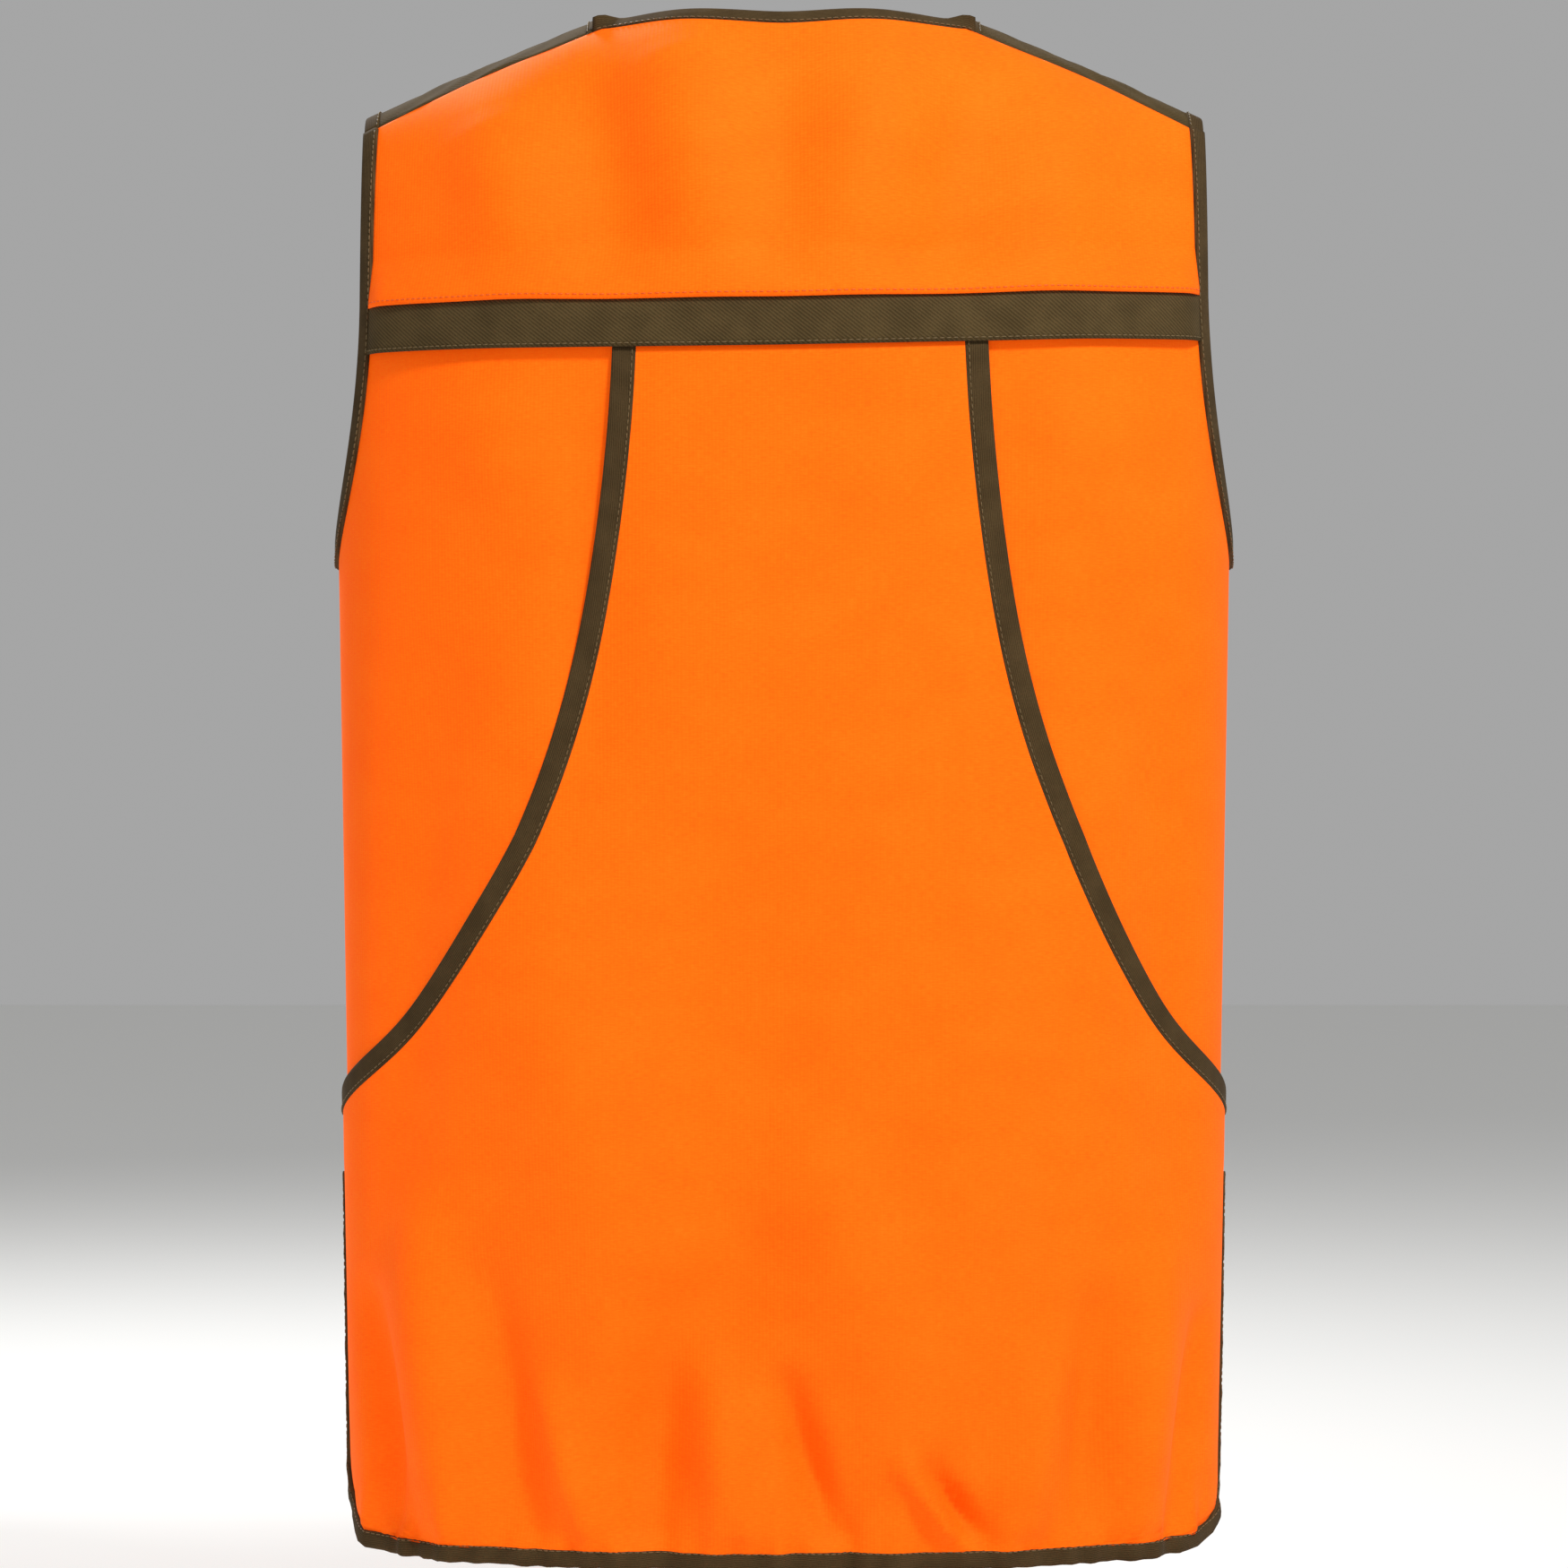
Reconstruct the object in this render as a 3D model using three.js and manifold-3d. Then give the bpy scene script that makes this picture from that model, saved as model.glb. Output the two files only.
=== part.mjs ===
// Blaze orange field vest, in millimetres, +Z up, wearer facing -Y, wearer's left at +X.
// The origin is where the vest hangs: mid-neck, level with the top of the neck binding.
import * as THREE from 'three';
import Module from 'manifold-3d';
import { mergeVertices } from 'three/addons/utils/BufferGeometryUtils.js';

const wasm = await Module();
wasm.setup();

// Driving dimensions
const HEIGHT = 764;              // hem to the top of the neck binding
const HALF_WIDTH_CHEST = 224;
const HALF_WIDTH_HEM = 216;
const HALF_DEPTH = 125;
const BOXINESS = 2.4;            // exponent of the plan section, 2 is an ellipse
const SHOULDER_ROUND = 2.2;      // exponent of the fall towards the shoulder line
const BACK_FALL = 200;           // height over which the back curves in to the shoulder line
const FRONT_FALL = 190;
const NECK_HALF_WIDTH = 97;
const SHOULDER_SLOPE = 0.458;
const NECK_EASE = 60;            // rounds the shoulder line where it passes the neck
const ARMHOLE_DEPTH = 274;       // neck down to the armpit
const ARMPIT_HEIGHT = HEIGHT - ARMHOLE_DEPTH;
const ARMHOLE_REACH = 130;       // height of the rounded bottom of the armhole
const ARMHOLE_INSET = 68;        // how far the armhole cuts in from the side line
const SLIT_TOP = 184;
const BINDING_WIDTH = 7.5;
const YOKE_BAND_WIDTH = 24;
const YOKE_DEPTH = 172;          // neck down to the lower edge of the band
const YOKE_BAND_BOTTOM = HEIGHT - YOKE_DEPTH;
const SHOULDER_SEAM_DROP = 7;    // back seam below the shoulder line
const SHOULDER_FRONT_DROP = 109; // neck down to the front seam
const SHOULDER_FRONT_SEAM = HEIGHT - SHOULDER_FRONT_DROP;
const V_NECK_DEPTH = 219;
const V_NECK_BOTTOM = HEIGHT - V_NECK_DEPTH;
const V_NECK_BOW = 0.85;
const POCKET_BINDING_WIDTH = 11;
const POCKET_TOP = 0.277;        // shares of the way from centre back to side seam
const POCKET_UPPER_PULL = 0.314;
const POCKET_LOWER_PULL = 0.589;
const POCKET_UPPER_PULL_HEIGHT = 360;
const POCKET_LOWER_PULL_HEIGHT = 240;
const POCKET_END_HEIGHT = 211;
const CLOTH = 1.6;
const LAYER_GAP = 1.8;
const GAP = 0.3;
const BINDING_THICK = 3;
const ZIP_TAPE_WIDTH = 14;
const TOOTH_INNER = 0.9;
const TOOTH_OUTER = 3.4;
const TOOTH_THICK = 3;
const SLIDER_LENGTH = 20;
const SLIDER_WIDTH = 10;
const SLIDER_PLATE = 2;
const TAB_LENGTH = 32;
const TAB_THICK = 1.4;
const BOX_HEIGHT = 9;
const STUD_CAP_RADIUS = 6;
const STUD_POST_RADIUS = 4.5;
const LOOP_WIDTH = 60;
const LOOP_DROP = 16;
const LOOP_TAPE = 4;
// Pocket places on a front panel: x from the centre line, z from the hem
const CARGO = { x0: 46, x1: 168, z0: 48, z1: 205, flap: 62 };
const CHEST = { x0: 52, x1: 148, z0: 375, z1: 500, flap: 46 };

const LAYER_2 = CLOTH + LAYER_GAP;
const SMALL = 1e-3;

const ORANGE = { color: 0xff7302, roughness: 0.85, metalness: 0 };
const OLIVE = { color: 0x58462a, roughness: 0.8, metalness: 0 };
const METAL = { color: 0x6f6a5c, roughness: 0.35, metalness: 1 };
const PLASTIC = { color: 0x2c2a24, roughness: 0.5, metalness: 0 };

const vest = new THREE.Group();
vest.position.z = -HEIGHT;

function addNode(name, geometry, finish) {
  const mesh = new THREE.Mesh(geometry, new THREE.MeshStandardMaterial(finish));
  mesh.name = name;
  vest.add(mesh);
  return mesh;
}

// The worn surface -------------------------------------------------------

const lerp = (a, b, t) => a + (b - a) * t;
const clamp = (value, low, high) => Math.min(Math.max(value, low), high);

function halfWidth(z) {
  return lerp(HALF_WIDTH_HEM, HALF_WIDTH_CHEST, clamp(z / ARMPIT_HEIGHT, 0, 1));
}

// Shares of the half-width along a quarter of the plan section, by arc length from its centre.
const QUARTER_STEPS = 400;
const quarter = [{ x: 0, length: 0 }];
for (let i = 1, before = [0, HALF_DEPTH]; i <= QUARTER_STEPS; i++) {
  const angle = (Math.PI / 2) * (1 - i / QUARTER_STEPS);
  const x = Math.cos(angle) ** (2 / BOXINESS);
  const at = [x * HALF_WIDTH_CHEST, Math.sin(angle) ** (2 / BOXINESS) * HALF_DEPTH];
  const length = quarter[i - 1].length + Math.hypot(at[0] - before[0], at[1] - before[1]);
  quarter.push({ x, length });
  before = at;
}
const QUARTER_LENGTH = quarter[QUARTER_STEPS].length;

function lookUp(value, from, to) {
  let i = 1;
  while (i < QUARTER_STEPS && quarter[i][from] < value) i++;
  const low = quarter[i - 1];
  const high = quarter[i];
  const t = clamp((value - low[from]) / (high[from] - low[from]), 0, 1);
  return lerp(low[to], high[to], t);
}
// share: 0 at the centre line, 1 at the side seam
const xAt = (share, z) => halfWidth(z) * lookUp(share * QUARTER_LENGTH, 'length', 'x');
const shareAt = (x, z) => lookUp(Math.min(Math.abs(x) / halfWidth(z), 1), 'x', 'length') / QUARTER_LENGTH;

function shoulderLine(x) {
  const rise = Math.hypot(NECK_HALF_WIDTH, NECK_EASE) - Math.hypot(x, NECK_EASE);
  return HEIGHT + SHOULDER_SLOPE * rise;
}
const fall = (side) => (side > 0 ? BACK_FALL : FRONT_FALL);
function climb(x, z, side) {
  return clamp((z - shoulderLine(x)) / fall(side) + 1, 0, 1);
}
const planDepth = (x, z) => HALF_DEPTH
  * Math.max(1 - (Math.abs(x) / halfWidth(z)) ** BOXINESS, 0) ** (1 / BOXINESS);

function depthAt(x, z, side) {
  const inward = (1 - climb(x, z, side) ** SHOULDER_ROUND) ** (1 / SHOULDER_ROUND);
  return side * planDepth(x, z) * inward;
}

function surfaceTest(x, y, z, side) {
  const up = climb(x, z, side);
  if (up === 0) {
    return (Math.abs(x) / halfWidth(z)) ** BOXINESS + (Math.abs(y) / HALF_DEPTH) ** BOXINESS;
  }
  return (Math.abs(y) / planDepth(x, z)) ** SHOULDER_ROUND + up ** SHOULDER_ROUND;
}

// A point of the surface with its outward normal; side is 1 on the back and -1 on the front.
function frameAt(x, z, side) {
  const y = depthAt(x, z, side);
  const d = 0.02;
  const slope = (dx, dy, dz) => surfaceTest(x + dx, y + dy, z + dz, side)
    - surfaceTest(x - dx, y - dy, z - dz, side);
  const normal = new THREE.Vector3(slope(d, 0, 0), slope(0, d, 0), slope(0, 0, d)).normalize();
  return { point: new THREE.Vector3(x, y, z), normal };
}

// Share of the way round at which a panel stops at height z: the seam, the slit or the armhole.
function sideShare(z) {
  if (z <= SLIT_TOP) return 1 - (BINDING_WIDTH + GAP) / QUARTER_LENGTH;
  const rise = clamp((z - ARMPIT_HEIGHT) / ARMHOLE_REACH, 0, 1);
  const inset = ARMHOLE_INSET * Math.sqrt(1 - (1 - rise) ** 2);
  return 1 - (inset + GAP / 2) / QUARTER_LENGTH;
}
const ARMHOLE_STEPS = [0, 0.02, 0.08, 0.2, 0.4, 0.7, 1];
const armholeLevels = ARMHOLE_STEPS.map((t) => ARMPIT_HEIGHT + t * ARMHOLE_REACH);
const SLIT_STEP = 8;

function levelsBetween(low, high, step) {
  const marks = [SLIT_TOP, SLIT_TOP + SLIT_STEP, ...armholeLevels];
  const fixed = marks.filter((z) => z > low + 2 && z < high - 2);
  const ends = [low, ...fixed, high];
  const levels = [];
  for (let i = 0; i + 1 < ends.length; i++) {
    const count = Math.max(1, Math.round((ends[i + 1] - ends[i]) / step));
    for (let k = 0; k < count; k++) levels.push(lerp(ends[i], ends[i + 1], k / count));
  }
  levels.push(high);
  return levels;
}

// Solids from rows of points ---------------------------------------------

// Each loop holds its upper points in order and then its lower points in reverse.
function loftSolid(loops) {
  const size = loops[0].length;
  const positions = loops.flat().flatMap((p) => [p.x, p.y, p.z]);
  const index = [];
  const quad = (a, b, c, d) => index.push(a, b, c, a, c, d);
  for (let i = 0; i + 1 < loops.length; i++) {
    for (let k = 0; k < size; k++) {
      const next = (k + 1) % size;
      quad(i * size + k, i * size + next, (i + 1) * size + next, (i + 1) * size + k);
    }
  }
  const last = (loops.length - 1) * size;
  for (let k = 0; k + 1 < size / 2; k++) {
    const mate = size - 1 - k;
    quad(k, mate, mate - 1, k + 1);
    quad(last + k, last + k + 1, last + mate - 1, last + mate);
  }
  let geometry = new THREE.BufferGeometry();
  geometry.setAttribute('position', new THREE.Float32BufferAttribute(positions, 3));
  geometry.setIndex(index);
  if (signedVolume(geometry) < 0) {
    for (let i = 0; i < index.length; i += 3) [index[i], index[i + 1]] = [index[i + 1], index[i]];
    geometry.setIndex(index);
  }
  return geometry;
}

function signedVolume(geometry) {
  const at = geometry.attributes.position;
  const order = geometry.index.array;
  const [a, b, c] = [new THREE.Vector3(), new THREE.Vector3(), new THREE.Vector3()];
  let sum = 0;
  for (let i = 0; i < order.length; i += 3) {
    a.fromBufferAttribute(at, order[i]);
    b.fromBufferAttribute(at, order[i + 1]);
    c.fromBufferAttribute(at, order[i + 2]);
    sum += a.dot(b.cross(c));
  }
  return sum;
}

const lifted = (frame, height) => frame.point.clone().addScaledVector(frame.normal, height);

function sheetSolid(rows, low, high) {
  return loftSolid(rows.map((row) => [
    ...row.map((frame) => lifted(frame, high)),
    ...[...row].reverse().map((frame) => lifted(frame, low)),
  ]));
}

// A flat bar beside an edge: turn is 1 or -1 for the side of the edge it lies on.
function edgeBar(path, turn, width, low, high, startOut = null, endOut = null) {
  const kept = path.filter((frame, i) => i === 0 || frame.point.distanceTo(path[i - 1].point) > 1);
  const loops = kept.map((frame, i) => {
    const before = kept[Math.max(i - 1, 0)].point;
    const after = kept[Math.min(i + 1, kept.length - 1)].point;
    const along = after.clone().sub(before).normalize();
    let out = along.cross(frame.normal).multiplyScalar(turn).normalize();
    if (i === 0 && startOut) out = startOut.clone();
    if (i === kept.length - 1 && endOut) out = endOut.clone();
    const corner = (away, height) => lifted(frame, height).addScaledVector(out, away);
    return [corner(GAP, high), corner(width, high), corner(width, low), corner(GAP, low)];
  });
  return loftSolid(loops);
}

function toManifold(source) {
  const bare = source.clone();
  bare.deleteAttribute('normal');
  bare.deleteAttribute('uv');
  const merged = mergeVertices(bare, SMALL);
  return new wasm.Manifold(new wasm.Mesh({
    numProp: 3,
    vertProperties: Float32Array.from(merged.attributes.position.array),
    triVerts: Uint32Array.from(merged.index.array),
  }));
}

function fromManifold(solid) {
  const mesh = solid.getMesh();
  const geometry = new THREE.BufferGeometry();
  geometry.setAttribute('position', new THREE.Float32BufferAttribute(mesh.vertProperties, 3));
  geometry.setIndex([...mesh.triVerts]);
  return geometry;
}

// A box from its lowest and highest corners
function boxGeometry(low, high) {
  const size = high.map((value, i) => value - low[i]);
  const geometry = new THREE.BoxGeometry(...size);
  return geometry.translate(...low.map((value, i) => value + size[i] / 2));
}

// Panels -----------------------------------------------------------------

const HEM_EDGE = BINDING_WIDTH;
const BAND_TOP = YOKE_BAND_BOTTOM + YOKE_BAND_WIDTH;
const NECK_EDGE = HEIGHT - BINDING_WIDTH;
const ZIP_EDGE = ZIP_TAPE_WIDTH + GAP;
const SIDES = [['left', 1], ['right', -1]];
const inSteps = (from, to, count) => Array.from({ length: count + 1 }, (_, i) => lerp(from, to, i / count));
const mirrored = (shares) => [...shares.slice(1).reverse().map((u) => -u), ...shares];
const up = new THREE.Vector3(0, 0, 1);

// A frame at a signed share of the way from the centre line to the panel's own side edge
function panelFrame(u, z, side, edgeShare = sideShare(z)) {
  return frameAt(Math.sign(u) * xAt(Math.abs(u) * edgeShare, z), z, side);
}
const firsts = (rows) => rows.map((row) => row[0]);
const lasts = (rows) => rows.map((row) => row.at(-1));

const backColumns = mirrored(inSteps(0, 1, 15));
const backLevels = levelsBetween(HEM_EDGE, YOKE_BAND_BOTTOM - GAP, 60);
const backRows = backLevels.map((z) => backColumns.map((u) => panelFrame(u, z, 1)));
addNode('back_panel', sheetSolid(backRows, 0, CLOTH), ORANGE);

// The pocket mouth runs as one curve from the yoke band to the side seam.
const mouth = new THREE.CubicBezierCurve(
  new THREE.Vector2(POCKET_TOP, YOKE_BAND_BOTTOM - GAP),
  new THREE.Vector2(POCKET_UPPER_PULL, POCKET_UPPER_PULL_HEIGHT),
  new THREE.Vector2(POCKET_LOWER_PULL, POCKET_LOWER_PULL_HEIGHT),
  new THREE.Vector2(1 - GAP / 2 / QUARTER_LENGTH, POCKET_END_HEIGHT),
);
const mouthPoints = mouth.getPoints(18).reverse();
const mouthRow = (share, z) => backColumns.map((u) => panelFrame(u, z, 1, share));
const mouthRows = mouthPoints.map(({ x: share, y: z }) => mouthRow(share, z));
const belowMouth = levelsBetween(HEM_EDGE, POCKET_END_HEIGHT, 60).slice(0, -1)
  .map((z) => backColumns.map((u) => panelFrame(u, z, 1)));
addNode('game_pocket_panel', sheetSolid([...belowMouth, ...mouthRows], LAYER_2, LAYER_2 + CLOTH), ORANGE);

const bandLevels = [YOKE_BAND_BOTTOM, BAND_TOP];
const bandRows = bandLevels.map((z) => backColumns.map((u) => panelFrame(u, z, 1)));
addNode('yoke_band', sheetSolid(bandRows, 0, LAYER_2 + CLOTH), OLIVE);

// The yoke's rows climb by equal turns of the shoulder round, so they close up towards the top.
const turnAt = (x, z, side) => Math.acos(climb(x, z, side) ** (SHOULDER_ROUND / 2));
const sunk = (turn) => 1 - Math.cos(turn) ** (2 / SHOULDER_ROUND);
const heightAt = (x, turn, side) => shoulderLine(x) - fall(side) * sunk(turn);
const SETTLE = 12;   // rounds that settle a point whose width and height depend on each other

const neckShare = shareAt(NECK_HALF_WIDTH, NECK_EDGE) / sideShare(NECK_EDGE);
const neckColumns = mirrored(inSteps(0, neckShare, 6));
const yokeColumns = mirrored([...inSteps(0, neckShare, 6), ...inSteps(neckShare, 1, 6).slice(1)]);

function yokeFrame(u, v) {
  let x = 0;
  let z = BAND_TOP;
  for (let i = 0; i < SETTLE; i++) {
    const top = Math.min(NECK_EDGE, shoulderLine(x) - SHOULDER_SEAM_DROP - GAP / 2);
    z = heightAt(x, lerp(turnAt(x, BAND_TOP + GAP, 1), turnAt(x, top, 1), v), 1);
    x = Math.sign(u) * xAt(Math.abs(u) * sideShare(z), z);
  }
  return frameAt(x, z, 1);
}
const yokeRows = inSteps(0, 1, 8).map((v) => yokeColumns.map((u) => yokeFrame(u, v)));
addNode('back_yoke', sheetSolid(yokeRows, 0, CLOTH), ORANGE);

const bindingLow = (CLOTH - BINDING_THICK) / 2;
const bindingHigh = bindingLow + BINDING_THICK;

// Turns to the side away from a point inside the panel.
function turnFrom(path, inside) {
  const i = Math.floor(path.length / 2);
  const along = path[i + 1].point.clone().sub(path[i - 1].point);
  const out = along.cross(path[i].normal);
  return Math.sign(out.dot(path[i].point.clone().sub(inside)));
}
function binding(name, path, inside, ends = [null, null], high = bindingHigh) {
  const bar = edgeBar(path, turnFrom(path, inside), BINDING_WIDTH, bindingLow, high, ...ends);
  return addNode(name, bar, OLIVE);
}

const insideBack = new THREE.Vector3(0, HALF_DEPTH, YOKE_BAND_BOTTOM);
const neckStart = (yokeColumns.length - neckColumns.length) / 2;
const neckPath = yokeRows.at(-1).slice(neckStart, neckStart + neckColumns.length);
binding('neck_binding_back', neckPath, insideBack, [up, up]);

// From the top of one slit down, along the hem and up the other slit
function hemPath(rows, levels) {
  const slit = levels.filter((z) => z <= SLIT_TOP).length;
  return [...firsts(rows).slice(0, slit).reverse(), ...rows[0].slice(1, -1), ...lasts(rows).slice(0, slit)];
}
const insideHem = new THREE.Vector3(0, HALF_DEPTH, ARMPIT_HEIGHT);
const layeredHigh = LAYER_2 + CLOTH - bindingLow;
binding('hem_binding_back', hemPath(backRows, backLevels), insideHem, [null, null], layeredHigh);

for (const [name, sign] of SIDES) {
  const edge = sign > 0 ? lasts : firsts;
  const mouthPath = edge(mouthRows);
  const level = up.clone().cross(mouthPath.at(-1).normal).multiplyScalar(-sign).normalize();
  const bar = edgeBar(mouthPath, turnFrom(mouthPath, insideHem), POCKET_BINDING_WIDTH,
    LAYER_2, LAYER_2 + CLOTH, up, level);
  addNode(`game_pocket_binding_${name}`, bar, OLIVE);

  const above = backLevels.map((z) => z >= ARMPIT_HEIGHT - 1);
  const armhole = [...edge(backRows).filter((_, i) => above[i]), ...edge(bandRows), ...edge(yokeRows)];
  binding(`armhole_binding_back_${name}`, armhole, insideBack, [up, null], layeredHigh);
}

// Shoulders --------------------------------------------------------------

const V_WIDTH = NECK_HALF_WIDTH - ZIP_EDGE;
const V_HEIGHT = HEIGHT - V_NECK_BOTTOM;
const neckX = (z) => ZIP_EDGE + V_WIDTH * clamp((z - V_NECK_BOTTOM) / V_HEIGHT, 0, 1) ** V_NECK_BOW;
const neckZ = (x) => V_NECK_BOTTOM + V_HEIGHT * Math.max((x - ZIP_EDGE) / V_WIDTH, 0) ** (1 / V_NECK_BOW);

// step runs from -1 at the back seam, over 0 at the shoulder line, to 1 at the front seam
function shoulderFrame(across, step, sign) {
  const side = step < 0 ? 1 : -1;
  let x = NECK_HALF_WIDTH;
  let z = HEIGHT;
  for (let i = 0; i < SETTLE; i++) {
    const seam = side > 0 ? shoulderLine(x) - SHOULDER_SEAM_DROP : SHOULDER_FRONT_SEAM;
    z = heightAt(x, Math.abs(step) * turnAt(x, seam, side), side);
    const inner = side > 0 ? NECK_HALF_WIDTH : neckX(z);
    x = lerp(inner, xAt(sideShare(z), z), across);
  }
  return frameAt(sign * x, z, side);
}
const shoulderSteps = [-1, -0.5, ...inSteps(0, 1, 6)];
for (const [name, sign] of SIDES) {
  const rows = shoulderSteps.map((step) => inSteps(0, 1, 6).map((k) => shoulderFrame(k, step, sign)));
  addNode(`shoulder_yoke_${name}`, sheetSolid(rows, 0, CLOTH), OLIVE);
  const middle = new THREE.Vector3(sign * (NECK_HALF_WIDTH + HALF_WIDTH_CHEST) / 2, 0, SHOULDER_FRONT_SEAM);
  binding(`neck_binding_shoulder_${name}`, firsts(rows).slice(1), middle);
  binding(`armhole_binding_shoulder_${name}`, lasts(rows).slice(1), middle,
    [null, new THREE.Vector3(sign, 0, 0)]);
}

// Fronts -----------------------------------------------------------------

const FRONT_SQUARE_TOP = V_NECK_BOTTOM - 15;
const frontLevels = levelsBetween(HEM_EDGE, FRONT_SQUARE_TOP, 70);
const FRONT_UPPER_ROWS = 7;
const seamZ = SHOULDER_FRONT_SEAM - GAP;
const zipShare = (z) => shareAt(ZIP_EDGE, z);
const seamRun = sideShare(seamZ) - zipShare(seamZ);
const seamNeckShare = (shareAt(neckX(seamZ), seamZ) - zipShare(seamZ)) / seamRun;
const frontColumns = [...inSteps(0, seamNeckShare, 5), ...inSteps(seamNeckShare, 1, 7).slice(1)];
const frontX = (u, z) => xAt(lerp(zipShare(z), sideShare(z), u), z);

function frontTop(u) {
  let z = V_NECK_BOTTOM;
  for (let i = 0; i < SETTLE; i++) z = Math.min(seamZ, neckZ(frontX(u, z)));
  return z;
}
function frontRow(level, sign) {
  return frontColumns.map((u) => {
    const z = level <= 1 ? lerp(FRONT_SQUARE_TOP, frontTop(u), level) : level;
    return frameAt(sign * frontX(u, z), z, -1);
  });
}
const upperLevels = inSteps(0, 1, FRONT_UPPER_ROWS).slice(1);

function patchRows(x0, x1, z0, z1, sign) {
  return inSteps(z0, z1, 4).map((z) => inSteps(x0, x1, 6).map((x) => frameAt(sign * x, z, -1)));
}
const POCKET_HIGH = LAYER_2 + CLOTH;
const FLAP_LIFT = POCKET_HIGH + CLOTH + 2 * GAP;
const FLAP_ROOT_LIFT = CLOTH + 3 * GAP;
const FLAP_ABOVE = 8;
const MOUTH_BELOW_FLAP = 6;

function studAt(x, z, sign, lift, radius, height) {
  const { point, normal } = frameAt(sign * x, z, -1);
  const disc = new THREE.CylinderGeometry(radius, radius, height, 16);
  disc.applyQuaternion(new THREE.Quaternion().setFromUnitVectors(new THREE.Vector3(0, 1, 0), normal));
  const centre = point.addScaledVector(normal, lift + height / 2);
  return disc.translate(centre.x, centre.y, centre.z);
}

function addPocket(kind, side, sign, { x0, x1, z0, z1, flap }) {
  const patch = patchRows(x0, x1, z0, z1 - MOUTH_BELOW_FLAP, sign);
  addNode(`${kind}_pocket_${side}`, sheetSolid(patch, LAYER_2, POCKET_HIGH), ORANGE);
  const flapRows = [z1 - flap, z1 - MOUTH_BELOW_FLAP, z1 + FLAP_ABOVE]
    .map((z) => inSteps(x0 - 3, x1 + 3, 6).map((x) => frameAt(sign * x, z, -1)));
  const lifts = [FLAP_LIFT, FLAP_LIFT, FLAP_ROOT_LIFT];
  const loops = flapRows.map((row, i) => [
    ...row.map((frame) => lifted(frame, lifts[i] + CLOTH)),
    ...[...row].reverse().map((frame) => lifted(frame, lifts[i])),
  ]);
  addNode(`${kind}_flap_${side}`, loftSolid(loops), OLIVE);
  const studX = (x0 + x1) / 2;
  const studZ = z1 - flap * 0.7;
  const post = studAt(studX, studZ, sign, POCKET_HIGH + GAP, STUD_POST_RADIUS, CLOTH);
  addNode(`${kind}_stud_post_${side}`, post, METAL);
  const cap = studAt(studX, studZ, sign, FLAP_LIFT + CLOTH + GAP, STUD_CAP_RADIUS, CLOTH);
  addNode(`${kind}_stud_cap_${side}`, cap, METAL);
}

const ZIP_LOW = HEM_EDGE - BINDING_WIDTH + GAP;
const zipFace = -HALF_DEPTH - CLOTH / 2;
const sliderTop = V_NECK_BOTTOM;
const sliderBottom = sliderTop - SLIDER_LENGTH;
for (const [name, sign] of SIDES) {
  const rows = [...frontLevels, ...upperLevels].map((level) => frontRow(level, sign));
  addNode(`front_panel_${name}`, sheetSolid(rows, 0, CLOTH), ORANGE);
  const middle = new THREE.Vector3(sign * HALF_WIDTH_CHEST / 2, -HALF_DEPTH, SHOULDER_FRONT_SEAM - 60);
  const neck = rows.at(-1).filter((_, i) => frontColumns[i] <= seamNeckShare + SMALL);
  binding(`neck_binding_front_${name}`, neck, middle);
  const armhole = lasts(rows).filter((frame) => frame.point.z >= ARMPIT_HEIGHT - 1);
  binding(`armhole_binding_front_${name}`, armhole, middle, [up, null]);
  const slitRows = frontLevels.filter((z) => z <= SLIT_TOP).length;
  const hem = [...rows[0], ...lasts(rows).slice(1, slitRows)];
  binding(`hem_binding_front_${name}`, hem, new THREE.Vector3(sign * 100, -HALF_DEPTH, ARMPIT_HEIGHT));

  const between = (a, b) => [Math.min(sign * a, sign * b), Math.max(sign * a, sign * b)];
  const chainTop = sign > 0 ? sliderTop : sliderBottom - GAP;
  const bar = (inner, outer, thick, low, high) => {
    const [x0, x1] = between(inner, outer);
    return boxGeometry([x0, zipFace - thick / 2, low], [x1, zipFace + thick / 2, high]);
  };
  const tape = bar(TOOTH_OUTER + GAP, ZIP_TAPE_WIDTH, CLOTH, ZIP_LOW, chainTop);
  addNode(`zip_tape_${name}`, tape, OLIVE);
  const chainLow = ZIP_LOW + BOX_HEIGHT + GAP;
  addNode(`zip_teeth_${name}`, bar(TOOTH_INNER, TOOTH_OUTER, TOOTH_THICK, chainLow, chainTop), PLASTIC);
  const foot = sign > 0 ? 'zip_retainer_box' : 'zip_pin';
  addNode(foot, bar(TOOTH_INNER, TOOTH_OUTER, TOOTH_THICK, ZIP_LOW, ZIP_LOW + BOX_HEIGHT), PLASTIC);
  addPocket('cargo', name, sign, CARGO);
}
addPocket('chest', 'left', 1, CHEST);
const stopLow = sliderTop + GAP;
addNode('zip_top_stop', boxGeometry([TOOTH_INNER, zipFace - TOOTH_THICK / 2, stopLow],
  [TOOTH_OUTER, zipFace + TOOTH_THICK / 2, stopLow + TOOTH_OUTER]), METAL);

// Zip slider and its tab ---------------------------------------------------

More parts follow.
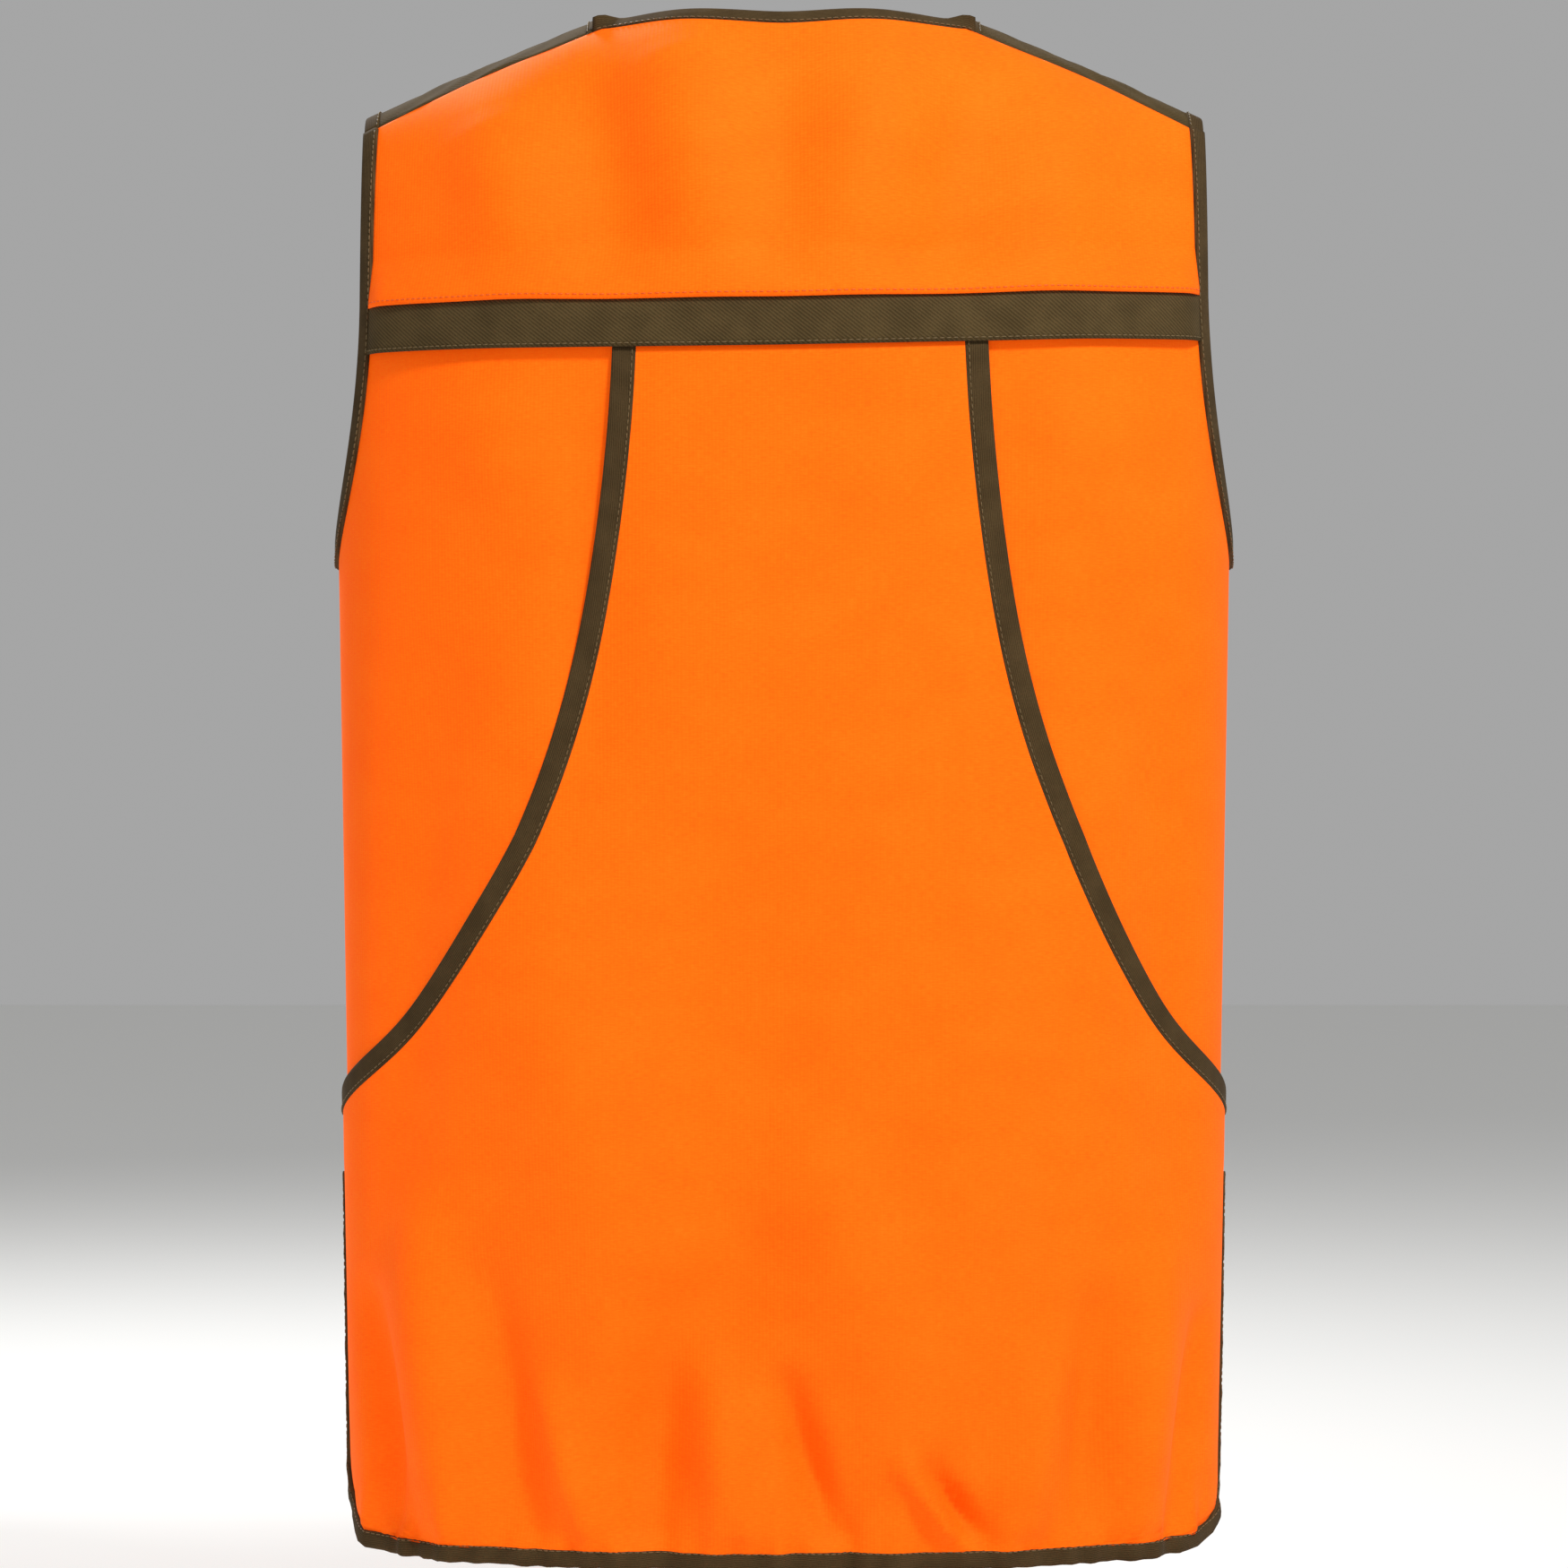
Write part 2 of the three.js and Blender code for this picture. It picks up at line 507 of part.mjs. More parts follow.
const plateNear = zipFace - TOOTH_THICK / 2 - GAP;
const plateFar = zipFace + TOOTH_THICK / 2 + GAP;
const bridgeNear = plateNear - SLIDER_PLATE - TAB_THICK * 1.7;
const tabY = plateNear - SLIDER_PLATE - TAB_THICK * 0.85;
const tabZ = sliderTop - SLIDER_LENGTH / 2;
const BRIDGE = 1.2;
const POST = TOOTH_INNER - GAP;
const half = SLIDER_WIDTH / 2;
const sliderBlocks = [
  boxGeometry([-half, plateNear - SLIDER_PLATE, sliderBottom], [half, plateNear, sliderTop]),
  boxGeometry([-half, plateFar, sliderBottom], [half, plateFar + SLIDER_PLATE, sliderTop]),
  boxGeometry([-POST, plateNear - 1, sliderTop - SLIDER_LENGTH * 0.6], [POST, plateFar + 1, sliderTop - 2]),
  boxGeometry([-BRIDGE, bridgeNear - BRIDGE, tabZ - 6], [BRIDGE, bridgeNear, tabZ + 6]),
  boxGeometry([-BRIDGE, bridgeNear - 0.1, tabZ + 4], [BRIDGE, plateNear - 1, tabZ + 6]),
  boxGeometry([-BRIDGE, bridgeNear - 0.1, tabZ - 6], [BRIDGE, plateNear - 1, tabZ - 4]),
];
const slider = sliderBlocks.map(toManifold).reduce((whole, block) => whole.add(block));
addNode('zip_slider', fromManifold(slider), METAL);

const tabOutline = new THREE.Shape();
const TAB_HALF = 3.4;
tabOutline.moveTo(-TAB_HALF, TAB_THICK / 2);
tabOutline.lineTo(TAB_HALF, TAB_THICK / 2);
tabOutline.lineTo(TAB_HALF, TAB_HALF - TAB_LENGTH);
tabOutline.absarc(0, TAB_HALF - TAB_LENGTH, TAB_HALF, 0, Math.PI, true);
const tabHole = new THREE.Path();
const WINDOW_HALF = BRIDGE + GAP;
tabHole.moveTo(-WINDOW_HALF, -TAB_THICK / 2);
tabHole.lineTo(-WINDOW_HALF, -TAB_LENGTH * 0.4);
tabHole.lineTo(WINDOW_HALF, -TAB_LENGTH * 0.4);
tabHole.lineTo(WINDOW_HALF, -TAB_THICK / 2);
tabOutline.holes.push(tabHole);
const tabShape = { depth: TAB_THICK, bevelEnabled: false, curveSegments: 12 };
const tabSolid = new THREE.ExtrudeGeometry(tabOutline, tabShape);
tabSolid.translate(0, 0, -TAB_THICK / 2);
tabSolid.rotateX(Math.PI / 2);
addNode('zip_pull_tab', tabSolid.translate(0, tabY, tabZ), METAL);

// Hanger loop inside the back neck, a flat tape sewn in at both ends --------

const neckInside = depthAt(LOOP_WIDTH / 2, NECK_EDGE, 1) - 4 * GAP;
const loopOutline = new THREE.Shape();
loopOutline.moveTo(-LOOP_WIDTH / 2, 0);
loopOutline.lineTo(-LOOP_WIDTH / 2, -LOOP_DROP);
loopOutline.lineTo(LOOP_WIDTH / 2, -LOOP_DROP);
loopOutline.lineTo(LOOP_WIDTH / 2, 0);
loopOutline.lineTo(LOOP_WIDTH / 2 - LOOP_TAPE, 0);
loopOutline.lineTo(LOOP_WIDTH / 2 - LOOP_TAPE, LOOP_TAPE - LOOP_DROP);
loopOutline.lineTo(LOOP_TAPE - LOOP_WIDTH / 2, LOOP_TAPE - LOOP_DROP);
loopOutline.lineTo(LOOP_TAPE - LOOP_WIDTH / 2, 0);
loopOutline.closePath();
const loopSolid = new THREE.ExtrudeGeometry(loopOutline, { depth: CLOTH, bevelEnabled: false });
loopSolid.rotateX(Math.PI / 2);
loopSolid.translate(0, neckInside, NECK_EDGE);
addNode('hanger_loop', loopSolid, OLIVE);

export default vest;
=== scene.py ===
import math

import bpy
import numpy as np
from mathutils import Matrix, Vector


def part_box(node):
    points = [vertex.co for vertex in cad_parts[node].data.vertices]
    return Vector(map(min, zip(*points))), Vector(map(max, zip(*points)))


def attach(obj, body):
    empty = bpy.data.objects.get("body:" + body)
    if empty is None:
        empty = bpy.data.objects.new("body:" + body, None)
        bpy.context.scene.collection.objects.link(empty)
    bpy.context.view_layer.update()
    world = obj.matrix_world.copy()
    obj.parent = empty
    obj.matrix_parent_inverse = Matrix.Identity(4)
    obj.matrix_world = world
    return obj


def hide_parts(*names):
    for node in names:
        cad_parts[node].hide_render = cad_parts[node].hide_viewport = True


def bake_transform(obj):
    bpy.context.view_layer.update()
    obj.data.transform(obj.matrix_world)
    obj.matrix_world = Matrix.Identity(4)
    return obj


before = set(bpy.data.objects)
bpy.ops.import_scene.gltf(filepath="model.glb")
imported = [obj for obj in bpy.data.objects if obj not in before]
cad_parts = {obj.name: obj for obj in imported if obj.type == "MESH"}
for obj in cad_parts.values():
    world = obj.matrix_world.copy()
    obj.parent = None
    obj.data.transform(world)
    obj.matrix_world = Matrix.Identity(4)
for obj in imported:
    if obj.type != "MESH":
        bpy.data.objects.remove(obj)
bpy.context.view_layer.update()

# %% [markdown]
# # A blaze orange field vest
# The vest is made the way a garment is worn: one smooth body surface is described once, and every
# panel, tape and stitch is laid on it by its distance round the body and its height. That keeps
# sewn edges together, because both sides of a seam ask the same surface where they are.

# %% [markdown]
# ## Driving sizes
# These are the sizes a pattern cutter would write down, in metres. Heights are counted from the
# hem and moved down by the back length at the end, because the vest hangs from the neck.

# %% Sizes
MM = 0.001
LENGTH = 764 * MM
CHEST_HALF = 224 * MM
HEM_HALF = 216 * MM
DEPTH_HALF = 125 * MM
BOXINESS = 2.4
SHOULDER_ROUND = 2.2
FALL = {1: 200 * MM, -1: 190 * MM}
NECK_HALF = 97 * MM
NECK_EASE = 60 * MM
SLOPE = 0.458
ARMPIT = 490 * MM
ARMHOLE_REACH = 130 * MM
ARMHOLE_INSET = 68 * MM
SLIT_TOP = 184 * MM
SLIT_EASE = 8 * MM
TAPE = 7.5 * MM
BAND_LOW = 592 * MM
BAND_HIGH = 616 * MM
SEAM_DROP = 10 * MM
FRONT_SEAM = 655 * MM
V_LOW = 545 * MM
V_BOW = 0.85
MOUTH_TAPE = 11 * MM
CLOTH = 1.2 * MM
LAYER = 2.4 * MM
TOP_LAYER = 4.4 * MM
YOKE_LAP = TOP_LAYER + 1.9 * MM
TUCK = 5 * MM
GAP = 0.3 * MM
ZIP_HALF = 14.3 * MM
CORNER_WIDE = 52 * MM
CORNER_HIGH = 40 * MM
SLIT_SPREAD = 16 * MM
STITCH = 3.4 * MM
STITCH_INSET = 0.7 * MM
HEM_THICK = 6.2 * MM
ARMHOLE_THICK = 4.4 * MM
MOUTH_THICK = 2.2 * MM
BACK, FRONT = 1, -1
MOUTH = ((0.277, 596), (0.314, 360), (0.589, 240), (1.0, 211))

# %% [markdown]
# ## The body surface
# In plan the worn vest is a boxy oval. Near the top it rounds over to the shoulder line. A quarter
# of the oval is measured along its curve once, so that cloth can be placed by its own length and
# not by how far across the body it happens to lie.

# %% Surface
angle = np.linspace(math.pi / 2, 0, 2001)
oval = np.stack([CHEST_HALF * np.cos(angle).clip(0) ** (2 / BOXINESS),
                 DEPTH_HALF * np.sin(angle).clip(0) ** (2 / BOXINESS)])
oval_length = np.concatenate([[0], np.cumsum(np.hypot(*np.diff(oval, axis=1)))])
QUARTER = oval_length[-1]
print("quarter of the chest, mm", round(QUARTER / MM, 1))


def half_width(z):
    return HEM_HALF + (CHEST_HALF - HEM_HALF) * np.clip(z / ARMPIT, 0, 1)


def x_at(length, z):
    share = np.interp(np.abs(length), oval_length, oval[0]) / CHEST_HALF
    return np.sign(length) * share * half_width(z)


def length_at(x, z):
    return np.interp(np.abs(x) / half_width(z) * CHEST_HALF, oval[0], oval_length)


def shoulder_line(x):
    return LENGTH + SLOPE * (math.hypot(NECK_HALF, NECK_EASE) - np.hypot(x, NECK_EASE))


def climb(x, z, side):
    return np.clip((z - shoulder_line(x)) / FALL[side] + 1, 0, 1)


def plan_depth(x, z):
    return DEPTH_HALF * np.clip(1 - (np.abs(x) / half_width(z)) ** BOXINESS, 0, 1) ** (1 / BOXINESS)


def depth(x, z, side):
    return side * plan_depth(x, z) * (1 - climb(x, z, side) ** SHOULDER_ROUND) ** (1 / SHOULDER_ROUND)


def level_set(p, side):
    x, y, z = p[..., 0], p[..., 1], p[..., 2]
    high = climb(x, z, side)
    low = (np.abs(x) / half_width(z)) ** BOXINESS + (np.abs(y) / DEPTH_HALF) ** BOXINESS
    rounded = (np.abs(y) / np.maximum(plan_depth(x, z), 1e-6)) ** SHOULDER_ROUND + high ** SHOULDER_ROUND
    return np.where(high > 0, rounded, low)


def outward(p, side):
    step = 0.02 * MM
    parts = [level_set(p + d, side) - level_set(p - d, side) for d in np.eye(3) * step]
    normal = np.stack(parts, axis=-1)
    return normal / np.linalg.norm(normal, axis=-1, keepdims=True)


# %% [markdown]
# ## Folds
# Cloth that hangs from the shoulders falls in long soft folds, and elastic in the hem pulls it into
# short gathers. A simulation would give folds in places of its own choosing. Here each long fold is
# a stroke from one point to another with a width and a height, as it would be drawn, and the
# gathers are a few waves of unlike length that fade upwards.

# %% Folds
# start length, start height, end length, end height, width, height of the fold, all in mm
BACK_FOLDS = [
    (0, 88, -28, 8, 9, -4.5), (-60, 50, -88, 10, 6, 4.0), (-72, 46, -100, 12, 7, -3.5),
    (40, 95, 22, 12, 16, 4.0), (62, 120, 70, 10, 20, -4.5), (118, 80, 96, 10, 12, 3.5),
    (150, 130, 128, 12, 16, -4.0), (190, 160, 176, 16, 20, 3.5), (226, 120, 205, 14, 14, -4.0),
    (-130, 90, -120, 12, 16, 3.5), (-160, 120, -150, 14, 14, -3.5), (-196, 140, -182, 16, 18, 3.5),
    (-228, 110, -214, 14, 12, -3.5), (20, 150, 60, 60, 26, -4.0), (-20, 190, -60, 70, 30, 3.5),
    (120, 300, 80, 120, 34, 3.0), (-110, 310, -80, 130, 34, 3.0), (180, 420, 205, 180, 30, -2.5),
    (-190, 430, -205, 190, 30, -2.5), (30, 360, 20, 150, 40, -2.5), (90, 560, 96, 380, 20, -1.6),
    (-110, 560, -112, 400, 20, -1.6), (150, 560, 130, 520, 26, 2.0), (-150, 575, -140, 500, 26, 2.0),
    (55, 745, 30, 640, 26, 3.0), (-50, 745, -30, 640, 26, 2.6), (100, 735, 80, 640, 22, -3.0),
    (-100, 735, -78, 640, 22, -2.6), (150, 712, 130, 630, 24, 2.6), (-150, 712, -128, 630, 24, 2.4),
    (0, 740, 4, 650, 22, -2.2), (-120, 650, -60, 632, 12, -1.2), (70, 650, 130, 636, 12, -1.0),
]
FRONT_FOLDS = [
    (60, 130, 40, 12, 16, 4.0), (120, 120, 100, 12, 18, -4.0), (180, 130, 170, 14, 18, 4.0),
    (230, 150, 215, 16, 16, -3.5), (120, 520, 190, 430, 26, 3.0), (170, 560, 220, 470, 18, -2.5),
    (60, 360, 90, 240, 36, -3.0), (200, 420, 190, 240, 30, 3.0), (100, 640, 80, 560, 26, 2.6),
]


FOLD_GAIN = {1: 2.8, -1: 1.0}


def stroke(length, z, fold):
    l0, z0, l1, z1, width, height = (value * MM for value in fold)
    across, along = l1 - l0, z1 - z0
    size = across ** 2 + along ** 2
    t = ((length - l0) * across + (z - z0) * along) / size
    near = np.clip(t, 0, 1)
    away = np.hypot(length - l0 - near * across, z - z0 - near * along)
    swell = 0.55 + 0.45 * np.sin(math.pi * np.clip(near, 0, 1))
    return height * swell * np.exp(-(away / width) ** 2)


def gathers(length, z):
    l = length / MM
    wander = 3 * np.sin(l / 41) + 2 * np.sin(l / 17 + 1)
    tight = np.sin((l + wander) / 2.6) * np.exp(-z / (16 * MM)) * 2.0
    loose = np.sin((l + 2 * wander) / 6.1 + 0.8 * np.sin(l / 29)) * np.exp(-z / (30 * MM)) * 3.2
    hold = 1 - 0.75 * np.exp(-z / (5 * MM))
    return (tight + loose) * hold * MM


def drape(length, z, side):
    folds = BACK_FOLDS if side > 0 else FRONT_FOLDS
    at = length if side > 0 else np.abs(length)
    total = sum(stroke(at, z, fold) for fold in folds)
    near_side = np.clip((QUARTER - np.abs(length)) / (45 * MM), 0, 1)
    near_top = np.clip((shoulder_line(x_at(length, z)) - z) / (40 * MM), 0, 1)
    near_hem = np.clip(z / (18 * MM), 0.45, 1)
    near_zip = 1 if side > 0 else np.clip((np.abs(length) - 16 * MM) / (30 * MM), 0, 1)
    return (FOLD_GAIN[side] * total * near_hem + gathers(length, z)) * near_side * near_top * near_zip


def lay(length, z, side, lift=0.0, folded=True):
    length, z = np.broadcast_arrays(np.asarray(length, float), np.asarray(z, float))
    x = x_at(length, z)
    p = np.stack([x, depth(x, z, side), z], axis=-1)
    normal = outward(p, side)
    rise = lift + (drape(length, z, side) if folded else 0)
    return p + normal * np.asarray(rise)[..., None], normal


# %% [markdown]
# ## Where each panel stops
# A panel's side edge is the seam below the arm, the slit near the hem, or the armhole. The slit's
# lower corner is round. An armhole is scooped: it leaves the side line level and turns upwards.

# %% Edges
def side_edge(z):
    z = np.asarray(z, float)
    rise = np.clip((z - ARMPIT) / ARMHOLE_REACH, 0, 1)
    armhole = ARMHOLE_INSET * np.sqrt(1 - (1 - rise) ** 2)
    low = np.clip(1 - (z - TAPE) / CORNER_HIGH, 0, 1)
    corner = CORNER_WIDE * (1 - np.sqrt(1 - low ** 2))
    slit = np.interp(z, [TAPE, SLIT_TOP, SLIT_TOP + SLIT_EASE], [SLIT_SPREAD, TAPE, 0])
    return QUARTER - armhole - corner - slit


def neck_x(z):
    return ZIP_HALF + (NECK_HALF - ZIP_HALF) * np.clip((z - V_LOW) / (LENGTH - V_LOW), 0, 1) ** V_BOW


def neck_z(x):
    share = np.clip((x - ZIP_HALF) / (NECK_HALF - ZIP_HALF), 0, None)
    return V_LOW + (LENGTH - V_LOW) * share ** (1 / V_BOW)


def turn_at(x, z, side):
    return np.arccos(climb(x, z, side) ** (SHOULDER_ROUND / 2))


def height_at(x, turn, side):
    return shoulder_line(x) - FALL[side] * (1 - np.cos(turn) ** (2 / SHOULDER_ROUND))


def levels(low, high, step, *extra):
    """Heights from low to high, closer together at the rounded places named in extra"""
    marks = [low, high] + [m for m in extra if low < m < high]
    fine = np.arange(low, high, step)
    return np.unique(np.round(np.concatenate([marks, fine[1:]]), 6))


SCOOP = tuple(ARMPIT + ARMHOLE_REACH * t for t in (0, 0.002, 0.006, 0.015, 0.03, 0.05, 0.08))
ROUND = tuple(TAPE + CORNER_HIGH * t for t in (0.02, 0.06, 0.12, 0.2, 0.3, 0.42, 0.56, 0.72, 0.88))
SETTLE = 14


# %% [markdown]
# ## From a grid of points to a piece of cloth
# Cloth has two faces and an edge. A grid of points is copied below itself along the surface's own
# direction, and a strip closes the rim, so each panel is a closed body that can be cut and sewn.
# The cut size is measured on the smooth surface, as the pattern piece would be.

# %% Pieces
drop = np.array([0, 0, -LENGTH])
pieces = {}


def mesh_piece(name, points, faces, finish, cut=None, smooth=True):
    mesh = bpy.data.meshes.new(name)
    mesh.from_pydata((np.asarray(points) + drop).tolist(), [], faces)
    mesh.validate()
    if cut is not None:
        layer = mesh.uv_layers.new(name="cut")
        corner = np.empty(len(mesh.loops), dtype=np.int32)
        mesh.loops.foreach_get("vertex_index", corner)
        layer.data.foreach_set("uv", np.asarray(cut)[corner].ravel())
    mesh.shade_smooth() if smooth else mesh.shade_flat()
    piece = bpy.data.objects.new(name, mesh)
    bpy.context.scene.collection.objects.link(piece)
    mesh.materials.append(finish)
    pieces[name] = piece
    return piece


def grid_faces(rows, columns, flip):
    at = np.arange(rows * columns).reshape(rows, columns)
    quad = np.stack([at[:-1, :-1], at[:-1, 1:], at[1:, 1:], at[1:, :-1]], axis=-1).reshape(-1, 4)
    return quad[:, ::-1] if flip else quad


def stacked(length, z, lift):
    """How far a layer lies off the body: layers are pressed together where they are sewn at the side"""
    inside = np.clip((side_edge(z) - np.abs(length)) / (16 * MM), 0, 1)
    return lift * (0.25 + 0.75 * np.sin(inside * math.pi / 2))


def cloth(name, length, z, side, finish, lift=0.0, thick=CLOTH):
    """A panel from grids of length round the body and height"""
    outer, normal = lay(length, z, side, stacked(length, z, lift) + thick)
    return cloth_of(name, outer, normal, length, z, finish, thick)


def cloth_of(name, outer, normal, length, z, finish, thick=CLOTH):
    rows, columns = outer.shape[:2]
    inner = outer - normal * thick
    across, up = outer[:, 1:] - outer[:, :-1], outer[1:] - outer[:-1]
    facing = np.cross(across[:-1], up[:, :-1])
    flip = float((facing * normal[:-1, :-1]).sum()) < 0
    count = rows * columns
    top = grid_faces(rows, columns, flip)
    bottom = grid_faces(rows, columns, not flip) + count
    at = np.arange(count).reshape(rows, columns)
    rim = np.concatenate([at[0], at[1:, -1], at[-1, -2::-1], at[-2:0:-1, 0]])
    after = np.roll(rim, -1)
    wall = np.stack([rim, after, after + count, rim + count], axis=-1)
    wall = wall if flip else wall[:, ::-1]
    faces = np.concatenate([top, bottom, wall]).tolist()
    points = np.concatenate([outer.reshape(-1, 3), inner.reshape(-1, 3)])
    cut = np.stack([length, z], axis=-1).reshape(-1, 2)
    return mesh_piece(name, points, faces, finish, np.concatenate([cut, cut]))


def grid_area(p):
    a, b, c, d = p[:-1, :-1], p[:-1, 1:], p[1:, 1:], p[1:, :-1]
    return np.linalg.norm(np.cross(c - a, d - b), axis=-1).sum() / 2


def cut_size(length, z, side):
    """Width, height and area of the piece as it was cut, before it was folded and gathered"""
    p, _ = lay(length, z, side, folded=False)
    width = np.linalg.norm(np.diff(p, axis=1), axis=-1).sum(axis=1).max()
    tall = np.linalg.norm(np.diff(p, axis=0), axis=-1).sum(axis=0).max()
    return (float(width), float(tall)), float(min(grid_area(p), width * tall))


def declare(piece, body, nodes):
    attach(piece, body)
    if nodes:
        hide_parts(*nodes)


# %% [markdown]
# ## Bound edges
# A raw edge is wrapped in a folded tape. Its section is a flat U closed at the outer side, so it
# is drawn as a flattened ring of points swept along the edge. The elastic in it draws it up a
# little, which shows as small ripples.

# %% Tape and stitches
TAPE_RING = 14
END_TWIST = 8 * MM


def along_of(points):
    step = np.gradient(points, axis=0)
    return step / np.linalg.norm(step, axis=-1, keepdims=True)


def thin_out(points, normals, least=1.2 * MM):
    keep = [0]
    for i in range(1, len(points)):
        if np.linalg.norm(points[i] - points[keep[-1]]) > least:
            keep.append(i)
    return points[keep], normals[keep]


def outwards(points, normals, inside):
    out = np.cross(along_of(points), normals)
    middle = len(points) // 2
    out = out * np.sign(np.dot(out[middle], points[middle] - inside))
    return out / np.linalg.norm(out, axis=-1, keepdims=True)


def distances(points):
    return np.concatenate([[0], np.cumsum(np.linalg.norm(np.diff(points, axis=0), axis=-1))])


def tape(name, path, inside, finish, width=TAPE, over=1.5 * MM, thick=2.6 * MM, ripple=0.0, ends=None,
         cut_width=1.8 * TAPE):
    """A folded tape round an edge: it starts over the cloth and ends just beyond its edge"""
    points, normals = thin_out(*path)
    out = outwards(points, normals, inside)
    s = distances(points)
    if ends is not None:
        for end, way in ((0, ends[0]), (-1, ends[1])):
            near = np.exp(-((s - s[end]) / END_TWIST) ** 2)[:, None]
            out = out * (1 - near) + way * near
        out /= np.linalg.norm(out, axis=-1, keepdims=True)
    ring = np.linspace(0, 2 * math.pi, TAPE_RING, endpoint=False)
    reach = (width + over) / 2
    across = reach * np.sign(np.cos(ring)) * np.abs(np.cos(ring)) ** 0.35
    rise = thick / 2 * np.sign(np.sin(ring)) * np.abs(np.sin(ring)) ** 0.6
    wave = ripple * (np.sin(s / (1.9 * MM) + np.sin(s / (11 * MM))) + 0.6 * np.sin(s / (4.3 * MM)))
    swell = points + out * (width - over) / 2 + normals * (CLOTH / 2 + wave * 0.5)[:, None]
    body = (swell[:, None] + out[:, None] * (across[None, :, None] + wave[:, None, None] * 0.4)
            + normals[:, None] * rise[None, :, None])
    rows = len(points)
    at = np.arange(rows * TAPE_RING).reshape(rows, TAPE_RING)
    nxt = np.roll(at, -1, axis=1)
    faces = np.stack([at[:-1], nxt[:-1], nxt[1:], at[1:]], axis=-1).reshape(-1, 4).tolist()
    faces += [at[0, ::-1].tolist(), at[-1].tolist()]
    cut = np.stack(np.broadcast_arrays(s[:, None], across[None, :]), axis=-1).reshape(-1, 2)
    piece = mesh_piece(name, body.reshape(-1, 3), faces, finish, cut)
    fix_facing(piece)
    return piece, (float(s[-1]), float(cut_width))


def fix_facing(piece):
    import bmesh
    work = bmesh.new()
    work.from_mesh(piece.data)
    bmesh.ops.recalc_face_normals(work, faces=work.faces)
    work.to_mesh(piece.data)
    work.free()


STITCH_SIDES = 5
STITCH_RINGS = ((0, 0.25), (0.2, 1), (0.8, 1), (1, 0.25))


def stitches(name, runs, finish, pitch=STITCH, fat=0.32 * MM):
    """Rows of thread: each stitch is a short grain that dips into the cloth at both ends"""
    points, faces = [], []
    for path, normals in runs:
        s = distances(path)
        starts = np.arange(pitch / 2, s[-1] - pitch, pitch)
        at = [np.stack([np.interp(starts + shift * pitch * 0.78, s, path[:, i]) for i in range(3)], -1)
              for shift in (0, 1)]
        up = np.stack([np.interp(starts, s, normals[:, i]) for i in range(3)], -1)
        along = at[1] - at[0]
        beside = np.cross(along, up)
        beside /= np.linalg.norm(beside, axis=-1, keepdims=True)
        first = sum(len(p) for p in points)
        rings = []
        for share, size in STITCH_RINGS:
            centre = at[0] + along * share + up * fat * (0.9 * size - 0.5)
            turn = np.linspace(0, 2 * math.pi, STITCH_SIDES, endpoint=False)
            sideways = np.cos(turn)[None, :, None] * beside[:, None]
            ring = sideways + np.sin(turn)[None, :, None] * up[:, None]
            rings.append(centre[:, None] + ring * fat * size)
        block = np.stack(rings, axis=1)
        points.append(block.reshape(-1, 3))
        count, ring_count = len(starts), len(STITCH_RINGS)
        idx = first + np.arange(count * ring_count * STITCH_SIDES).reshape(count, ring_count, STITCH_SIDES)
        nxt = np.roll(idx, -1, axis=2)
        quads = np.stack([idx[:, :-1], nxt[:, :-1], nxt[:, 1:], idx[:, 1:]], axis=-1).reshape(-1, 4)
        faces += quads.tolist() + idx[:, 0, ::-1].tolist() + idx[:, -1].tolist()
    piece = mesh_piece(name, np.concatenate(points), faces, finish)
    return piece


# %% [markdown]
# ## Cloth and trim finishes
# Every pattern is laid out on the cut piece, whose coordinates are in metres, so a thread keeps its
# real size and runs with the cloth. Real threads are finer than the picture can show, so each weave
# is drawn about twice as coarse as it is.

# %% Colour and node helpers
def srgb(code):
    parts = [int(code[i:i + 2], 16) / 255 for i in (1, 3, 5)]
    return [p / 12.92 if p <= 0.04045 else ((p + 0.055) / 1.055) ** 2.4 for p in parts] + [1.0]


def add(tree, kind, settings=(), **links):
    """Adds a node, sets its properties or sockets from settings and joins its inputs from links"""
    node = tree.nodes.new(kind)
    for key, value in dict(settings).items():
        if isinstance(key, str) and hasattr(node, key):
            setattr(node, key, value)
        else:
            node.inputs[key].default_value = value
    for key, source in links.items():
        socket = node.inputs[int(key[1:])] if key[1:].isdigit() else node.inputs[key.replace("_", " ")]
        tree.links.new(source, socket)
    return node


def finish_of(name, **shader):
    material = bpy.data.materials.new(name)
    material.use_nodes = True
    tree = material.node_tree
    surface = tree.nodes["Principled BSDF"]
    for key, value in shader.items():
        surface.inputs[key.replace("_", " ")].default_value = value
    return material, tree, surface


def tones(tree, factor, *stops):
    ramp = add(tree, "ShaderNodeValToRGB", {}, Fac=factor)
    while len(ramp.color_ramp.elements) < len(stops):
        ramp.color_ramp.elements.new(0.5)
    for element, (place, colour) in zip(ramp.color_ramp.elements, stops):
        element.position, element.color = place, srgb(colour)
    return ramp.outputs["Color"]


def cut_place(tree, stretch=(1, 1, 1), turn=0.0):
    place = add(tree, "ShaderNodeTexCoord").outputs["UV"]
    settings = {"Scale": stretch, "Rotation": (0, 0, turn)}
    return add(tree, "ShaderNodeMapping", settings, Vector=place).outputs["Vector"]


def raise_by(tree, surface, height, distance, strength=1.0):
    bump = add(tree, "ShaderNodeBump", {"Distance": distance, "Strength": strength}, Height=height)
    tree.links.new(bump.outputs["Normal"], surface.inputs["Normal"])


def join(tree, a, b, how="ADD"):
    return add(tree, "ShaderNodeMath", {"operation": how}, _0=a, _1=b).outputs[0]


